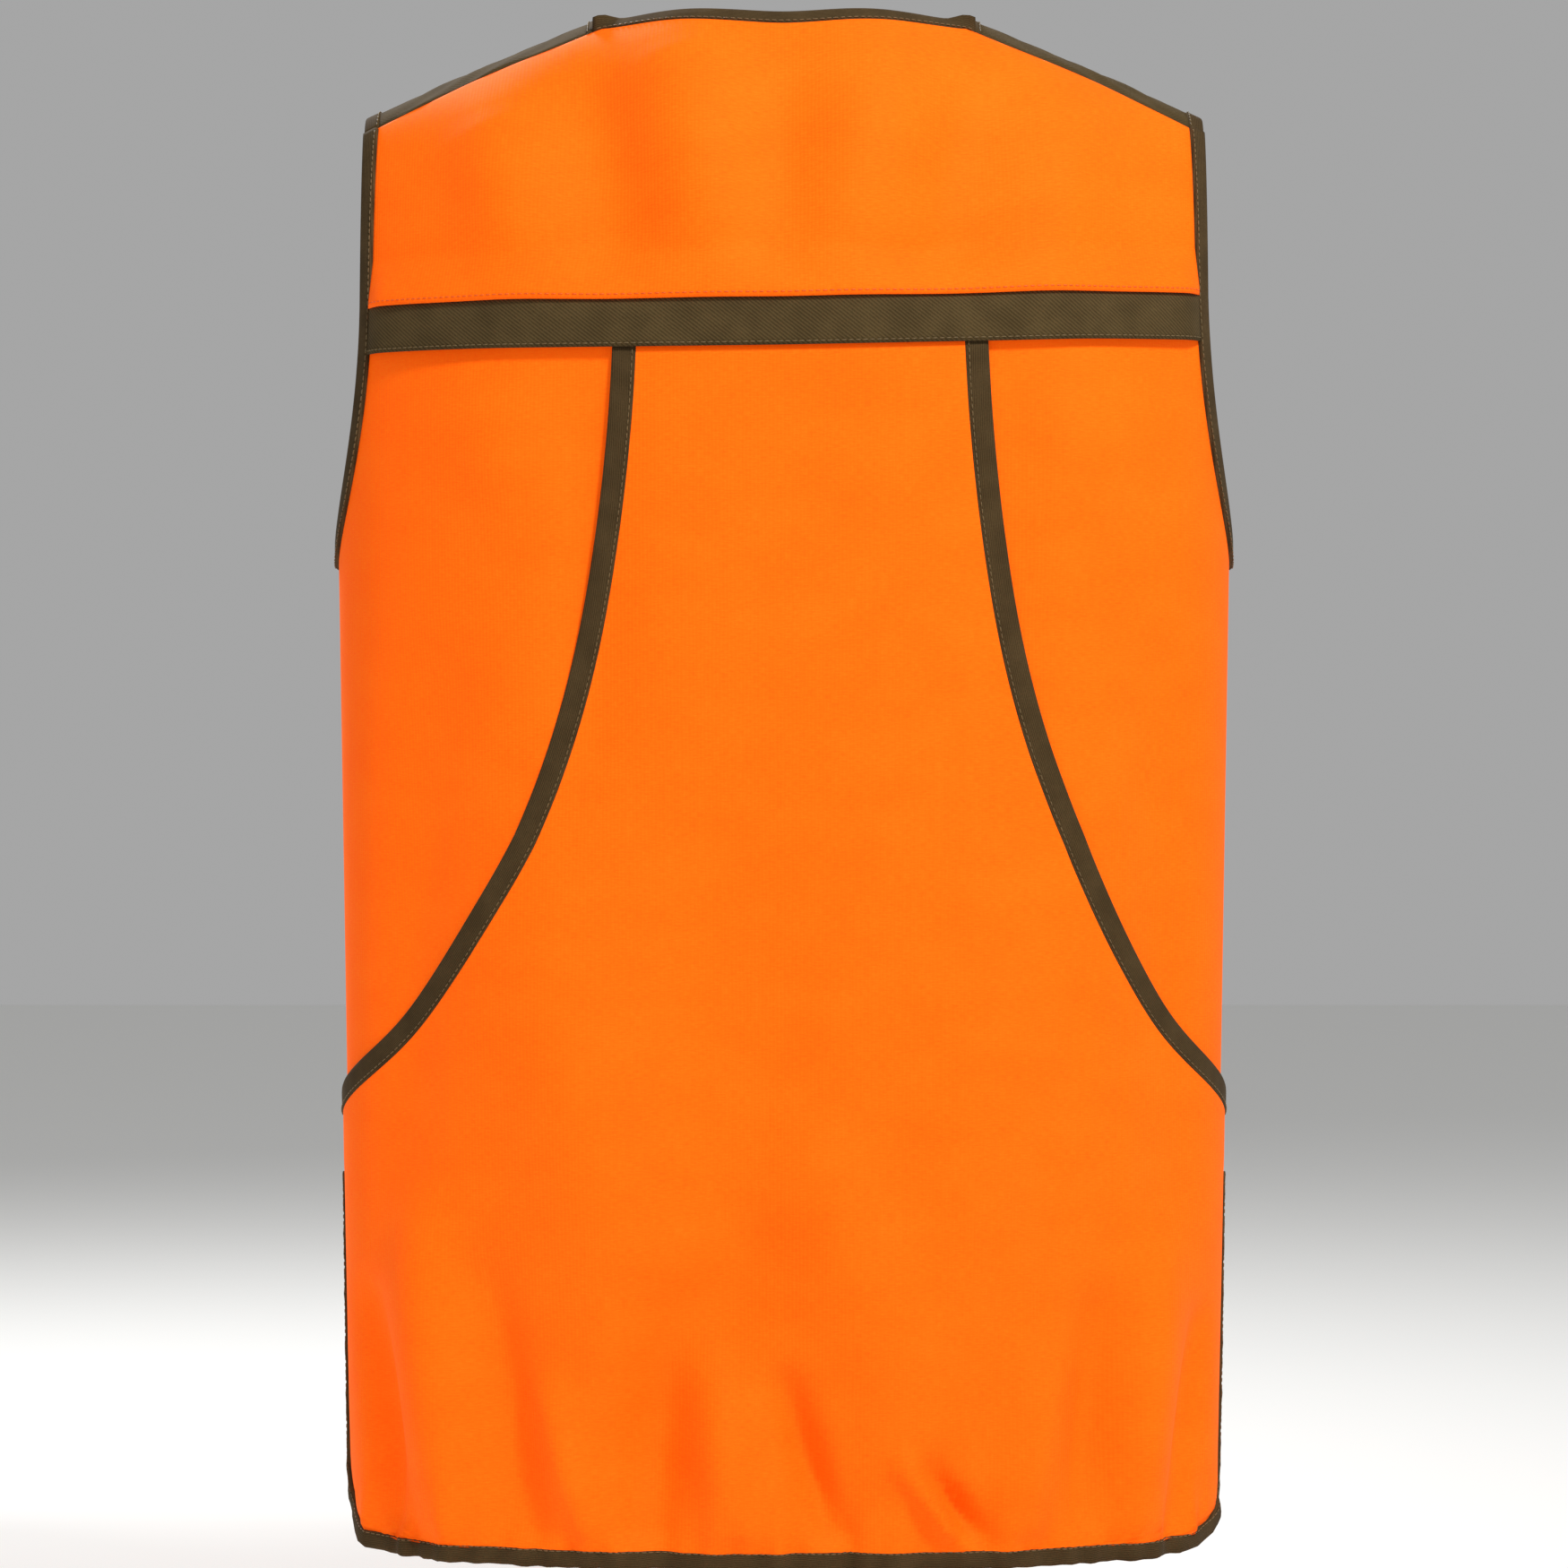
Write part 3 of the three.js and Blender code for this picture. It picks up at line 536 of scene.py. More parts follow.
# %% [markdown]
# ### Brushed blaze orange polyester
# The shell is a knit whose face is brushed to a short nap, dyed with a fluorescent orange. The nap
# gives a soft sheen and no hard highlight. The dye sends back more red than falls on it, so folds
# turn redder before they turn darker: that is painted light here, a weak red glow of the same strength
# in light and in shade, which keeps shaded folds red. Stray fibres lie mostly across the cloth and show as
# short faint flecks.

# %% Brushed polyester
def brushed_polyester(name, main, deep, pale):
    material, tree, surface = finish_of(name, Roughness=0.8, Specular_IOR_Level=0.14, IOR=1.5,
                                        Sheen_Weight=0.08, Sheen_Roughness=0.5)
    surface.inputs["Sheen Tint"].default_value = srgb("#FF9A4A")
    # painted light: a weak red glow, the same in shade as in light, keeps the shaded folds red
    surface.inputs["Emission Color"].default_value = srgb("#FF3C00")
    surface.inputs["Emission Strength"].default_value = 0.30
    fleck = add(tree, "ShaderNodeTexNoise", {"Scale": 1.0, "Detail": 3.0, "Roughness": 0.6},
                Vector=cut_place(tree, (260, 1500, 1))).outputs["Fac"]
    cloud = add(tree, "ShaderNodeTexNoise", {"Scale": 1.0, "Detail": 4.0, "Roughness": 0.65},
                Vector=cut_place(tree, (22, 34, 1))).outputs["Fac"]
    mixed = join(tree, join(tree, fleck, cloud), add(tree, "ShaderNodeMath", {
        "operation": "MULTIPLY", 1: 0.5}, _0=cloud).outputs[0], "SUBTRACT")
    colour = tones(tree, mixed, (0.42, deep), (0.72, main), (1.0, pale))
    tree.links.new(colour, surface.inputs["Base Color"])
    knit = add(tree, "ShaderNodeTexWave", {"Scale": 1.0, "Distortion": 2.5, "Detail": 2.0},
               Vector=cut_place(tree, (170, 40, 1))).outputs["Fac"]
    nap = add(tree, "ShaderNodeTexNoise", {"Scale": 1.0, "Detail": 5.0, "Roughness": 0.7},
              Vector=cut_place(tree, (900, 1400, 1))).outputs["Fac"]
    raise_by(tree, surface, join(tree, knit, nap), 0.12 * MM, 0.5)
    return material


orange = brushed_polyester("brushed_polyester_blaze_orange", "#FF6E00", "#FB6200", "#FF7808")


# %% [markdown]
# ### Olive twill
# The yoke band is a cotton twill: its weft steps over by one thread each pick, which draws fine
# slanting lines. Each line is a ridge of slightly paler thread over a darker ground.

# %% Twill
def twill(name, ridge, ground, pitch, slant):
    material, tree, surface = finish_of(name, Roughness=0.88, Specular_IOR_Level=0.08, IOR=1.5,
                                        Sheen_Weight=0.02, Sheen_Roughness=0.5)
    # a wave repeats about every 0.31 of its coordinate
    scale = 0.314 / pitch
    lines = add(tree, "ShaderNodeTexWave", {"Scale": 1.0, "Distortion": 0.6, "Detail": 1.0},
                Vector=cut_place(tree, (scale, scale, 1), slant)).outputs["Fac"]
    grain = add(tree, "ShaderNodeTexNoise", {"Scale": 1.0, "Detail": 4.0, "Roughness": 0.7},
                Vector=cut_place(tree, (1300, 700, 1))).outputs["Fac"]
    worn = add(tree, "ShaderNodeTexNoise", {"Scale": 1.0, "Detail": 3.0},
               Vector=cut_place(tree, (60, 60, 1))).outputs["Fac"]
    half = add(tree, "ShaderNodeMath", {"operation": "MULTIPLY", 1: 0.34}, _0=lines).outputs[0]
    colour = tones(tree, join(tree, half, join(tree, grain, worn, "MULTIPLY")),
                   (0.2, ground), (0.62, ridge))
    tree.links.new(colour, surface.inputs["Base Color"])
    raise_by(tree, surface, join(tree, lines, grain), 0.18 * MM, 0.6)
    return material


olive_twill = twill("cotton_twill_olive", "#5B4A2D", "#3F321C", 1.5 * MM, math.radians(52))
olive_tape = twill("elastic_binding_olive", "#56442A", "#3A2C18", 0.9 * MM, math.radians(88))
zip_cloth = twill("woven_zip_tape_olive", "#51432B", "#3A2F1D", 0.9 * MM, math.radians(8))


# %% [markdown]
# ### Thread, zip plastic and trim metal
# Thread is spun polyester with a soft gloss. Zip teeth are moulded acetal, smooth and slightly
# waxy. The slider, tab and stud caps are zinc and brass plated a dark gunmetal, rubbed paler.

# %% Thread, plastic, metal
def spun_thread(name, colour):
    material, tree, surface = finish_of(name, Roughness=0.5, Specular_IOR_Level=0.35, IOR=1.5)
    twist = add(tree, "ShaderNodeTexNoise", {"Scale": 2400.0, "Detail": 2.0},
                Vector=add(tree, "ShaderNodeTexCoord").outputs["Object"]).outputs["Fac"]
    shade = tones(tree, twist, (0.3, colour[0]), (0.7, colour[1]))
    tree.links.new(shade, surface.inputs["Base Color"])
    return material


def hard_trim(name, dark, light, rough, metallic, grain):
    material, tree, surface = finish_of(name, Metallic=metallic, IOR=1.5)
    place = add(tree, "ShaderNodeTexCoord").outputs["Object"]
    speck = add(tree, "ShaderNodeTexNoise", {"Scale": grain, "Detail": 5.0}, Vector=place).outputs["Fac"]
    tree.links.new(tones(tree, speck, (0.35, dark), (0.65, light)), surface.inputs["Base Color"])
    spread = add(tree, "ShaderNodeMapRange", {"To Min": rough - 0.08, "To Max": rough + 0.1}, Value=speck)
    tree.links.new(spread.outputs[0], surface.inputs["Roughness"])
    raise_by(tree, surface, speck, 0.03 * MM, 0.4)
    return material


olive_thread = spun_thread("polyester_thread_olive", ("#5C4A2C", "#7A6540"))
orange_thread = spun_thread("polyester_thread_orange", ("#D64E08", "#FF7A20"))
acetal = hard_trim("moulded_acetal_dark_olive", "#332C1E", "#40382A", 0.42, 0.0, 600.0)
gunmetal = hard_trim("gunmetal_plating", "#4B4740", "#75706A", 0.32, 1.0, 420.0)

# %% [markdown]
# ## The back
# The back is an orange under panel, a game pocket panel laid over it, an olive band and an orange
# yoke. The pocket's two mouths run from the band to the side seams in one curve, stiffened by a
# wide tape sewn down along its inner side. On this vest both curves sit a little to the wearer's
# right, and the band climbs a little to that side, as cut and sewn cloth does.

# %% Back panels
def mirror(values):
    return np.concatenate([-values[:0:-1], values])


def band_shift(length):
    """How far the band's line rises above level: more to the wearer's right"""
    across = length / QUARTER
    return (7 * across ** 2 - 4.5 * across) * MM


def between(rows, columns):
    return np.broadcast_arrays(columns[None, :], rows[:, None])


COLUMNS = mirror(np.linspace(0, 1, 84))
back_low = levels(TAPE, BAND_LOW + TUCK, 5 * MM, SLIT_TOP, SLIT_TOP + SLIT_EASE, *SCOOP, *ROUND)
u, z = between(back_low, COLUMNS)
length = u * side_edge(z)
z_back = z + band_shift(length) * np.clip((z - ARMPIT) / (BAND_LOW - ARMPIT), 0, 1)
back_panel = cloth("back_panel_cloth", length, z_back, BACK, orange)
flat, area = cut_size(length, z_back, BACK)
declare(back_panel, "back", ["back_panel"])
print("back panel cut", [round(v, 3) for v in flat], round(area, 3))
back_edges = {1: (length[:, -1], z_back[:, -1]), -1: (length[:, 0], z_back[:, 0])}
back_hem = (length[0], z_back[0])

# %% Game pocket panel
t = np.linspace(1, 0, 90)[:, None]
control = np.array(MOUTH)
mouth = ((1 - t) ** 3 * control[0] + 3 * (1 - t) ** 2 * t * control[1]
         + 3 * (1 - t) * t ** 2 * control[2] + t ** 3 * control[3])
mouth_share, mouth_z = mouth[:, 0], mouth[:, 1] * MM
pocket_low = levels(TAPE, mouth_z[0], 5 * MM, SLIT_TOP, SLIT_TOP + SLIT_EASE, *ROUND)[:-1]
pocket_z = np.concatenate([pocket_low, mouth_z])
reach = np.concatenate([side_edge(pocket_low), mouth_share * QUARTER])
lean = -8 * MM * np.clip((pocket_z - mouth_z[0]) / (140 * MM), 0, 1)
u, z = between(pocket_z, COLUMNS)
length = u * reach[:, None] + lean[:, None]
z_pocket = z + band_shift(length) * np.clip((z - ARMPIT) / (BAND_LOW - ARMPIT), 0, 1)
game_pocket = cloth("game_pocket_cloth", length, z_pocket, BACK, orange, LAYER)
flat, area = cut_size(length, z_pocket, BACK)
declare(game_pocket, "back", ["game_pocket_panel"])
mouths = {sign: (length[len(pocket_low):, column], z_pocket[len(pocket_low):, column])
          for sign, column in ((1, -1), (-1, 0))}

# %% Yoke band and yoke
u, v = between(np.linspace(0, 1, 9), COLUMNS)
z = BAND_LOW + (BAND_HIGH - BAND_LOW) * v
length = u * side_edge(z)
z = z + band_shift(length)
band = cloth("yoke_band_twill", length, z, BACK, olive_twill, TOP_LAYER, 1.4 * MM)
flat, area = cut_size(length, z, BACK)
declare(band, "back", ["yoke_band"])
band_edges = {1: (length[:, -1], z[:, -1]), -1: (length[:, 0], z[:, 0])}
band_low = (length[0], z[0])

u, v = between(np.linspace(0, 1, 64), COLUMNS)
start = BAND_HIGH - 1.2 * MM
x = np.zeros_like(u)
z = np.full_like(u, start)
for _ in range(SETTLE):
    line = shoulder_line(x)
    top = np.minimum(LENGTH - TAPE, line - SEAM_DROP)
    low = start + band_shift(length_at(x, z) * np.sign(u)) * 1.0
    turn = turn_at(x, low, BACK) * (1 - v) + turn_at(x, top, BACK) * v
    z = height_at(x, turn, BACK)
    length = u * side_edge(z)
    x = x_at(length, z)
# the yoke's folded hem laps over the band, so its lower edge stands a cloth proud of it
lap = np.interp(z - start - band_shift(length), [0, 3 * MM, 24 * MM], [YOKE_LAP, YOKE_LAP, 0])
outer, normal = lay(length, z, BACK, stacked(length, z, lap) + CLOTH)
yoke = cloth_of("back_yoke_cloth", outer, normal, length, z, orange)
flat, area = cut_size(length, z, BACK)
declare(yoke, "back", ["back_yoke"])
yoke_edges = {1: (length[:, -1], z[:, -1]), -1: (length[:, 0], z[:, 0])}
yoke_hem, yoke_top = (length[0], z[0]), (length[-1], z[-1])
print("back pieces", len(pieces))

# %% [markdown]
# ## Shoulders
# The shoulder yokes are olive and run from the seam just behind the shoulder line over to the
# front. They are the only part of the vest that the wearer's gun sling or pack strap rubs, so they
# are made in the tougher twill.

# %% Shoulder yokes
SIDES = (("left", 1), ("right", -1))
steps = np.concatenate([np.linspace(-1, 0, 10)[:-1], np.linspace(0, 1, 30)])
shoulder_edges = {}


def shoulder_grid(side, step, across):
    x = np.full(np.broadcast(step, across).shape, NECK_HALF)
    z = np.full_like(x, LENGTH)
    for _ in range(SETTLE):
        seam = shoulder_line(x) - SEAM_DROP if side > 0 else FRONT_SEAM
        z = height_at(x, np.abs(step) * turn_at(x, seam, side), side)
        inner = NECK_HALF if side > 0 else neck_x(z)
        x = inner + (x_at(side_edge(z), z) - inner) * across
    return x, z


for name, sign in SIDES:
    parts = []
    for side, part in ((BACK, steps[steps < 0]), (FRONT, steps[steps >= 0])):
        across, step = between(part, np.linspace(0, 1, 40))
        x, z = shoulder_grid(side, step, across)
        length = sign * length_at(x, z)
        p, n = lay(length, z, side, CLOTH)
        crease = 0.9 * MM * np.sin(x / (7 * MM) + 3 * step) * np.sin(step * 9 + x / (23 * MM))
        parts.append((p + n * (crease * np.sin(math.pi * across))[..., None], n, length, z))
    outer, normal, length, z = (np.concatenate(group) for group in zip(*parts))
    ridge = len(parts[0][0])
    run = np.concatenate([[0], np.cumsum(np.linalg.norm(np.diff(outer[:, 0], axis=0), axis=-1))])
    across_run = distances(outer[ridge])
    piece = cloth_of(f"shoulder_yoke_twill_{name}", outer, normal,
                     np.broadcast_to(across_run, z.shape), np.broadcast_to(run[:, None], z.shape),
                     olive_twill)
    declare(piece, "back", [f"shoulder_yoke_{name}"])
    shoulder_edges[sign] = (outer, normal)

# %% [markdown]
# ## Seam allowances
# Where a front is sewn to the back, both cloths go on for a few millimetres inside the seam. The
# strip is not seen until a front is swung open and the seam gapes a little.

# %% Seam allowances
ALLOWANCE = 9 * MM
for name, sign in SIDES:
    beside, z = between(np.linspace(SLIT_TOP - 2 * MM, ARMPIT - 2 * MM, 60),
                        np.linspace(-ALLOWANCE, ALLOWANCE, 13))
    length = sign * (QUARTER - np.abs(beside))
    halves = [lay(length[:, half], z[:, half], side, -0.5 * MM, folded=False)
              for side, half in ((FRONT, beside[0] < 0), (BACK, beside[0] >= 0))]
    outer, normal = (np.concatenate(group, axis=1) for group in zip(*halves))
    strip = cloth_of(f"side_seam_allowance_{name}", outer, normal, beside, z, orange, 0.8 * MM)
    declare(strip, "back", [])
print("seam allowances", 2)

# %% [markdown]
# ## Tapes on the back
# One tape binds the neck, one each armhole, one the hem and both slits. The wider tapes along the
# pocket mouths are sewn to the pocket panel on the side towards the middle of the back.

# %% Back tapes
inside_back = np.array([0, DEPTH_HALF, BAND_LOW])
inside_hem = np.array([0, DEPTH_HALF, ARMPIT])
level_up = np.array([0, 0, 1.0])
SEAM_LAP = 2.5 * MM
# square to the V neck's edge, towards the middle and up
across_v = np.array([-0.936, 0, 0.353])


def edge_path(*runs, side=BACK, lift=0.0):
    laid = [lay(length, z, side, lift) for length, z in runs]
    return tuple(np.concatenate(group) for group in zip(*laid))


def bind(name, path, inside, body, nodes, finish=None, **more):
    piece, flat = tape(name, path, inside, finish or olive_tape, **more)
    declare(piece, body, nodes)
    return piece


keep = np.abs(x_at(*yoke_top)) < NECK_HALF
neck_run = (yoke_top[0][keep], yoke_top[1][keep])
bind("neck_tape_back", edge_path(neck_run), inside_back, "back", ["neck_binding_back"],
     ends=(level_up, level_up))

slit = back_low <= SLIT_TOP
down = tuple(value[slit][::-1] for value in back_edges[-1])
climb_up = tuple(value[slit] for value in back_edges[1])
hem_run = edge_path(down, tuple(value[1:-1] for value in back_hem), climb_up, lift=0.8 * MM)
bind("hem_tape_back", hem_run, inside_hem, "back", ["hem_binding_back"], ripple=0.5 * MM, thick=HEM_THICK)

def armhole_run(sign):
    """The back armhole's edge from the armpit up to the shoulder, across panel, band and yoke"""
    high = (back_low >= ARMPIT - 0.1 * MM) & (back_low < BAND_LOW - 1 * MM)
    panel = tuple(v[high] for v in back_edges[sign])
    return edge_path(panel, tuple(v[:-1] for v in band_edges[sign]), yoke_edges[sign], lift=0.5 * MM)


def shoulder_run(sign, edge):
    """One edge of a shoulder yoke, carried a little past the front seam to meet the next tape"""
    outer, normal = shoulder_edges[sign]
    points, ways = outer[:, edge] - normal[:, edge] * CLOTH, normal[:, edge]
    onward = points[-1] - points[-2]
    past = points[-1] + onward / np.linalg.norm(onward) * SEAM_LAP
    return np.concatenate([points, [past]]), np.concatenate([ways, ways[-1:]])


for name, sign in SIDES:
    bind(f"armhole_tape_back_{name}", armhole_run(sign), inside_back, "back",
         [f"armhole_binding_back_{name}"], thick=ARMHOLE_THICK)
    pocket_edge = tuple(v - 0 for v in mouths[sign])
    p, n = edge_path(pocket_edge, lift=LAYER)
    flat_way = np.cross(n[-1], level_up) * sign
    bind(f"game_pocket_mouth_tape_{name}", (p, n), inside_hem, "back", [f"game_pocket_binding_{name}"],
         width=MOUTH_TAPE, over=1.0 * MM, thick=MOUTH_THICK, ends=(level_up, flat_way),
         cut_width=MOUTH_TAPE + 1.5 * MM)
    middle = np.array([sign * (NECK_HALF + CHEST_HALF) / 2, 0, FRONT_SEAM])
    neck_ends = (np.array([-0.96 * sign, 0, 0.28]), across_v * [sign, 1, 1])
    bind(f"neck_tape_shoulder_{name}", shoulder_run(sign, 0), middle, "back",
         [f"neck_binding_shoulder_{name}"], ends=neck_ends)
    bind(f"armhole_tape_shoulder_{name}", shoulder_run(sign, -1), middle, "back",
         [f"armhole_binding_shoulder_{name}"])

# %% [markdown]
# ## Topstitching on the back
# Machine stitches hold every fold. They lie in straight rows a fixed way in from each edge: 2 mm
# inside the tapes, 2 mm above the yoke's hem and 1.5 mm above the band's lower edge.

# %% Back stitches
def row(length, z, side=BACK, lift=0.0):
    return lay(length, z, side, lift)


def inset_run(path, inside, inset, lift):
    """The same edge moved into the piece, for a row of stitches"""
    points, normals = thin_out(*path)
    return points - outwards(points, normals, inside) * inset + normals * lift, normals


olive_runs = [inset_run(edge_path(neck_run), inside_back, STITCH_INSET, 2.1 * MM),
              inset_run(hem_run, inside_hem, STITCH_INSET, 3.3 * MM),
              row(band_low[0], band_low[1] + 1.6 * MM, lift=stacked(*band_low, TOP_LAYER) + 1.45 * MM)]
for sign in (1, -1):
    olive_runs.append(inset_run(armhole_run(sign), inside_back, STITCH_INSET, 2.7 * MM))
    p, n = edge_path(mouths[sign], lift=LAYER)
    olive_runs.append(inset_run((p, n), inside_hem, -0.9 * MM, 1.75 * MM))
    outer, normal = shoulder_edges[sign]
    middle = np.array([sign * (NECK_HALF + CHEST_HALF) / 2, 0, FRONT_SEAM])
    for edge in (0, -1):
        path = (outer[:, edge] - normal[:, edge] * CLOTH, normal[:, edge])
        olive_runs.append(inset_run(path, middle, STITCH_INSET, 2.0 * MM))
back_stitches = stitches("topstitch_back_olive", olive_runs, olive_thread)
declare(back_stitches, "back", [])

orange_runs = [row(yoke_hem[0], yoke_hem[1] + 2.2 * MM, lift=stacked(*yoke_hem, YOKE_LAP) + CLOTH)]
yoke_stitches = stitches("topstitch_back_orange", orange_runs, orange_thread)
declare(yoke_stitches, "back", [])

# %% [markdown]
# ## The two fronts
# Each front is one orange panel from the side seam to the zip, cut away in a V at the neck. When a
# front is opened it turns about its side seam, but its top stays sewn to the shoulder, so the
# cloth between the shoulder seam and the foot of the V twists. Here the front pieces only have
# their placement baked in; they are not attached to a body.

# %% Fronts
def share(piece, sign, name, nodes, slot, flat=None, area=None, held="hung"):
    if nodes:
        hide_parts(*nodes)
    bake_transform(piece)


FRONT_COLUMNS = np.linspace(0, 1, 72)
SQUARE_TOP = 530 * MM
front_low = levels(TAPE, SQUARE_TOP, 5 * MM, SLIT_TOP, SLIT_TOP + SLIT_EASE, *SCOOP, *ROUND)


def zip_length(z):
    return length_at(ZIP_HALF, z)


def front_length(u, z):
    return zip_length(z) + (side_edge(z) - zip_length(z)) * u


seam_top = FRONT_SEAM - GAP
top_z = np.full_like(FRONT_COLUMNS, V_LOW)
for _ in range(SETTLE * 3):
    wanted = np.minimum(seam_top, neck_z(x_at(front_length(FRONT_COLUMNS, top_z), top_z)))
    top_z = (top_z + wanted) / 2
front_high = np.linspace(0, 1, 26)[1:, None]
z_front = np.concatenate([np.broadcast_to(front_low[:, None], (len(front_low), len(FRONT_COLUMNS))),
                          SQUARE_TOP + (top_z[None, :] - SQUARE_TOP) * front_high])
front_lengths = front_length(FRONT_COLUMNS[None, :], z_front)
on_neck = top_z < seam_top - 0.5 * MM
front_flat, front_area = cut_size(front_lengths, z_front, FRONT)
for name, sign in SIDES:
    panel = cloth(f"front_panel_cloth_{name}", sign * front_lengths, z_front, FRONT, orange)
    share(panel, sign, name, [f"front_panel_{name}"], "orange_cloth", front_flat, front_area)
    middle = np.array([sign * 120 * MM, -DEPTH_HALF, FRONT_SEAM - 60 * MM])
    inside_low = np.array([sign * 120 * MM, -DEPTH_HALF, ARMPIT])
    neck_lengths = np.append(front_lengths[-1][on_neck], length_at(neck_x(seam_top), seam_top))
    neck = edge_path((sign * neck_lengths, np.append(z_front[-1][on_neck], seam_top)), side=FRONT)
    arm_rows = z_front[:, -1] >= ARMPIT - 0.1 * MM
    arm = edge_path((sign * front_lengths[arm_rows, -1], z_front[arm_rows, -1]), side=FRONT)
    slit_rows = front_low <= SLIT_TOP
    hem = edge_path((sign * front_lengths[0], z_front[0]),
                    (sign * front_lengths[:len(front_low)][slit_rows, -1][1:], front_low[slit_rows][1:]),
                    side=FRONT)
    for kind, path, inside, more in (("neck", neck, middle, {}), ("armhole", arm, middle, {}),
                                     ("hem", hem, inside_low, {"ripple": 0.5 * MM})):
        strip, flat = tape(f"{kind}_tape_front_{name}", path, inside, olive_tape, **more)
        size = {"flat": flat, "area": flat[0] * flat[1] * 0.98, "held": "stretched"}
        share(strip, sign, name, [f"{kind}_binding_front_{name}"], "olive_binding", **size)
    runs = [inset_run(path, inside, STITCH_INSET, 2.0 * MM)
            for path, inside in ((neck, middle), (arm, middle), (hem, inside_low))]
    share(stitches(f"topstitch_front_olive_{name}", runs, olive_thread), sign, name, [], "olive_binding")
    zip_run = lay(sign * front_lengths[1:-2, 0] + sign * 2 * MM, z_front[1:-2, 0], FRONT, CLOTH)
    zip_stitches = stitches(f"topstitch_front_orange_{name}", [zip_run], orange_thread)
    share(zip_stitches, sign, name, [], "orange_cloth")
print("front panel cut", [round(v, 3) for v in front_flat], round(front_area, 3))

# %% [markdown]
# ## Zip
# The zip is a moulded one: teeth set on two woven tapes, a slider with a hanging tab, a box and pin
# at the foot. Each tooth is a small block with a rounded head that reaches between the two across
# from it, so a row is one tooth repeated at the zip's pitch.

# %% Zip
zip_face = -DEPTH_HALF - 0.8 * MM
ZIP_LOW = 0.3 * MM
SLIDER_LENGTH = 20 * MM
PITCH = 2.6 * MM
TOOTH_CROSS = 1.3 * MM
TOOTH_HALF = 0.57 * MM


def block(low, high, bevel, name, finish, segments=2):
    import bmesh
    work = bmesh.new()
    bmesh.ops.create_cube(work, size=1)
    size, middle = np.subtract(high, low), np.add(high, low) / 2
    for vertex in work.verts:
        vertex.co = [c * s + m for c, s, m in zip(vertex.co, size, middle + drop)]
    bmesh.ops.bevel(work, geom=work.edges[:], offset=bevel, segments=segments, affect="EDGES", profile=0.5)
    mesh = bpy.data.meshes.new(name)
    work.to_mesh(mesh)
    work.free()
    mesh.shade_smooth()
    mesh.materials.append(finish)
    piece = bpy.data.objects.new(name, mesh)
    bpy.context.scene.collection.objects.link(piece)
    return piece


def joined(name, parts):
    bpy.ops.object.select_all(action="DESELECT")
    for part in parts:
        part.select_set(True)
    bpy.context.view_layer.objects.active = parts[0]
    bpy.ops.object.join()
    parts[0].name = parts[0].data.name = name
    pieces[name] = parts[0]
    return parts[0]


for name, sign in SIDES:
    top = V_LOW if sign > 0 else V_LOW - SLIDER_LENGTH - GAP
    x_in, x_out = 3.7 * MM, 14 * MM
    across = np.linspace(x_in, x_out, 8)
    z = np.linspace(ZIP_LOW, top, 90)
    u, v = between(z, across)
    outer = np.stack([sign * u, np.full_like(u, zip_face - 0.5 * MM), v], axis=-1)
    forwards = np.broadcast_to([0, -1.0, 0], outer.shape)
    strip = cloth_of(f"zip_tape_cloth_{name}", outer, forwards, u, v, zip_cloth, 1 * MM)
    declare(strip, f"front_{name}", [f"zip_tape_{name}"])
    teeth = []
    first = ZIP_LOW + 11 * MM + (PITCH / 2 if sign < 0 else 0)
    for i, height in enumerate(np.arange(first, top - 1 * MM, PITCH)):
        low = [min(-sign * TOOTH_CROSS, sign * 3.9 * MM), zip_face - 1.3 * MM, height - TOOTH_HALF]
        high = [max(-sign * TOOTH_CROSS, sign * 3.9 * MM), zip_face + 1.3 * MM, height + TOOTH_HALF]
        teeth.append(block(low, high, 0.22 * MM, f"tooth_{name}_{i}", acetal, 1))
    spine = [min(sign * 2.4 * MM, sign * 3.9 * MM), zip_face - 1.0 * MM, ZIP_LOW + 9.5 * MM]
    spine_top = [max(sign * 2.4 * MM, sign * 3.9 * MM), zip_face + 1.0 * MM, top - 0.2 * MM]
    teeth.append(block(spine, spine_top, 0.3 * MM, f"cord_{name}", acetal))
    declare(joined(f"zip_teeth_row_{name}", teeth), f"front_{name}", [f"zip_teeth_{name}"])


# %% Slider, tab and end pieces
SLIDER_FACE = zip_face - 1.8 * MM
SLIDER_BACK = zip_face + 1.8 * MM
slider_low, tab_z = V_LOW - SLIDER_LENGTH, V_LOW - SLIDER_LENGTH / 2
bridge_face = SLIDER_FACE - 4.38 * MM
slider_parts = [
    block([-5 * MM, SLIDER_FACE - 2 * MM, slider_low], [5 * MM, SLIDER_FACE, V_LOW],
          0.9 * MM, "plate", gunmetal, 4),
    block([-5 * MM, SLIDER_BACK, slider_low], [5 * MM, SLIDER_BACK + 2 * MM, V_LOW],
          0.9 * MM, "plate", gunmetal, 4),
    block([-1.2 * MM, bridge_face - 1.2 * MM, tab_z - 6 * MM], [1.2 * MM, bridge_face, tab_z + 6 * MM],
          0.5 * MM, "bridge", gunmetal, 3)]
for foot in (-6, 4):
    slider_parts.append(block([-1.2 * MM, bridge_face - 0.6 * MM, tab_z + foot * MM],
                              [1.2 * MM, SLIDER_FACE - 1 * MM, tab_z + (foot + 2) * MM],
                              0.4 * MM, "foot", gunmetal, 2))
slider = joined("zip_slider_body", slider_parts)
declare(slider, "slider", ["zip_slider"])


def refinish(node, finish):
    """Gives a piece whose bare shape is already right its real finish"""
    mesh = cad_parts[node].data
    mesh.materials.clear()
    mesh.materials.append(finish)


for node in ("zip_pull_tab", "zip_top_stop"):
    refinish(node, gunmetal)
for node in ("zip_retainer_box", "zip_pin"):
    refinish(node, acetal)

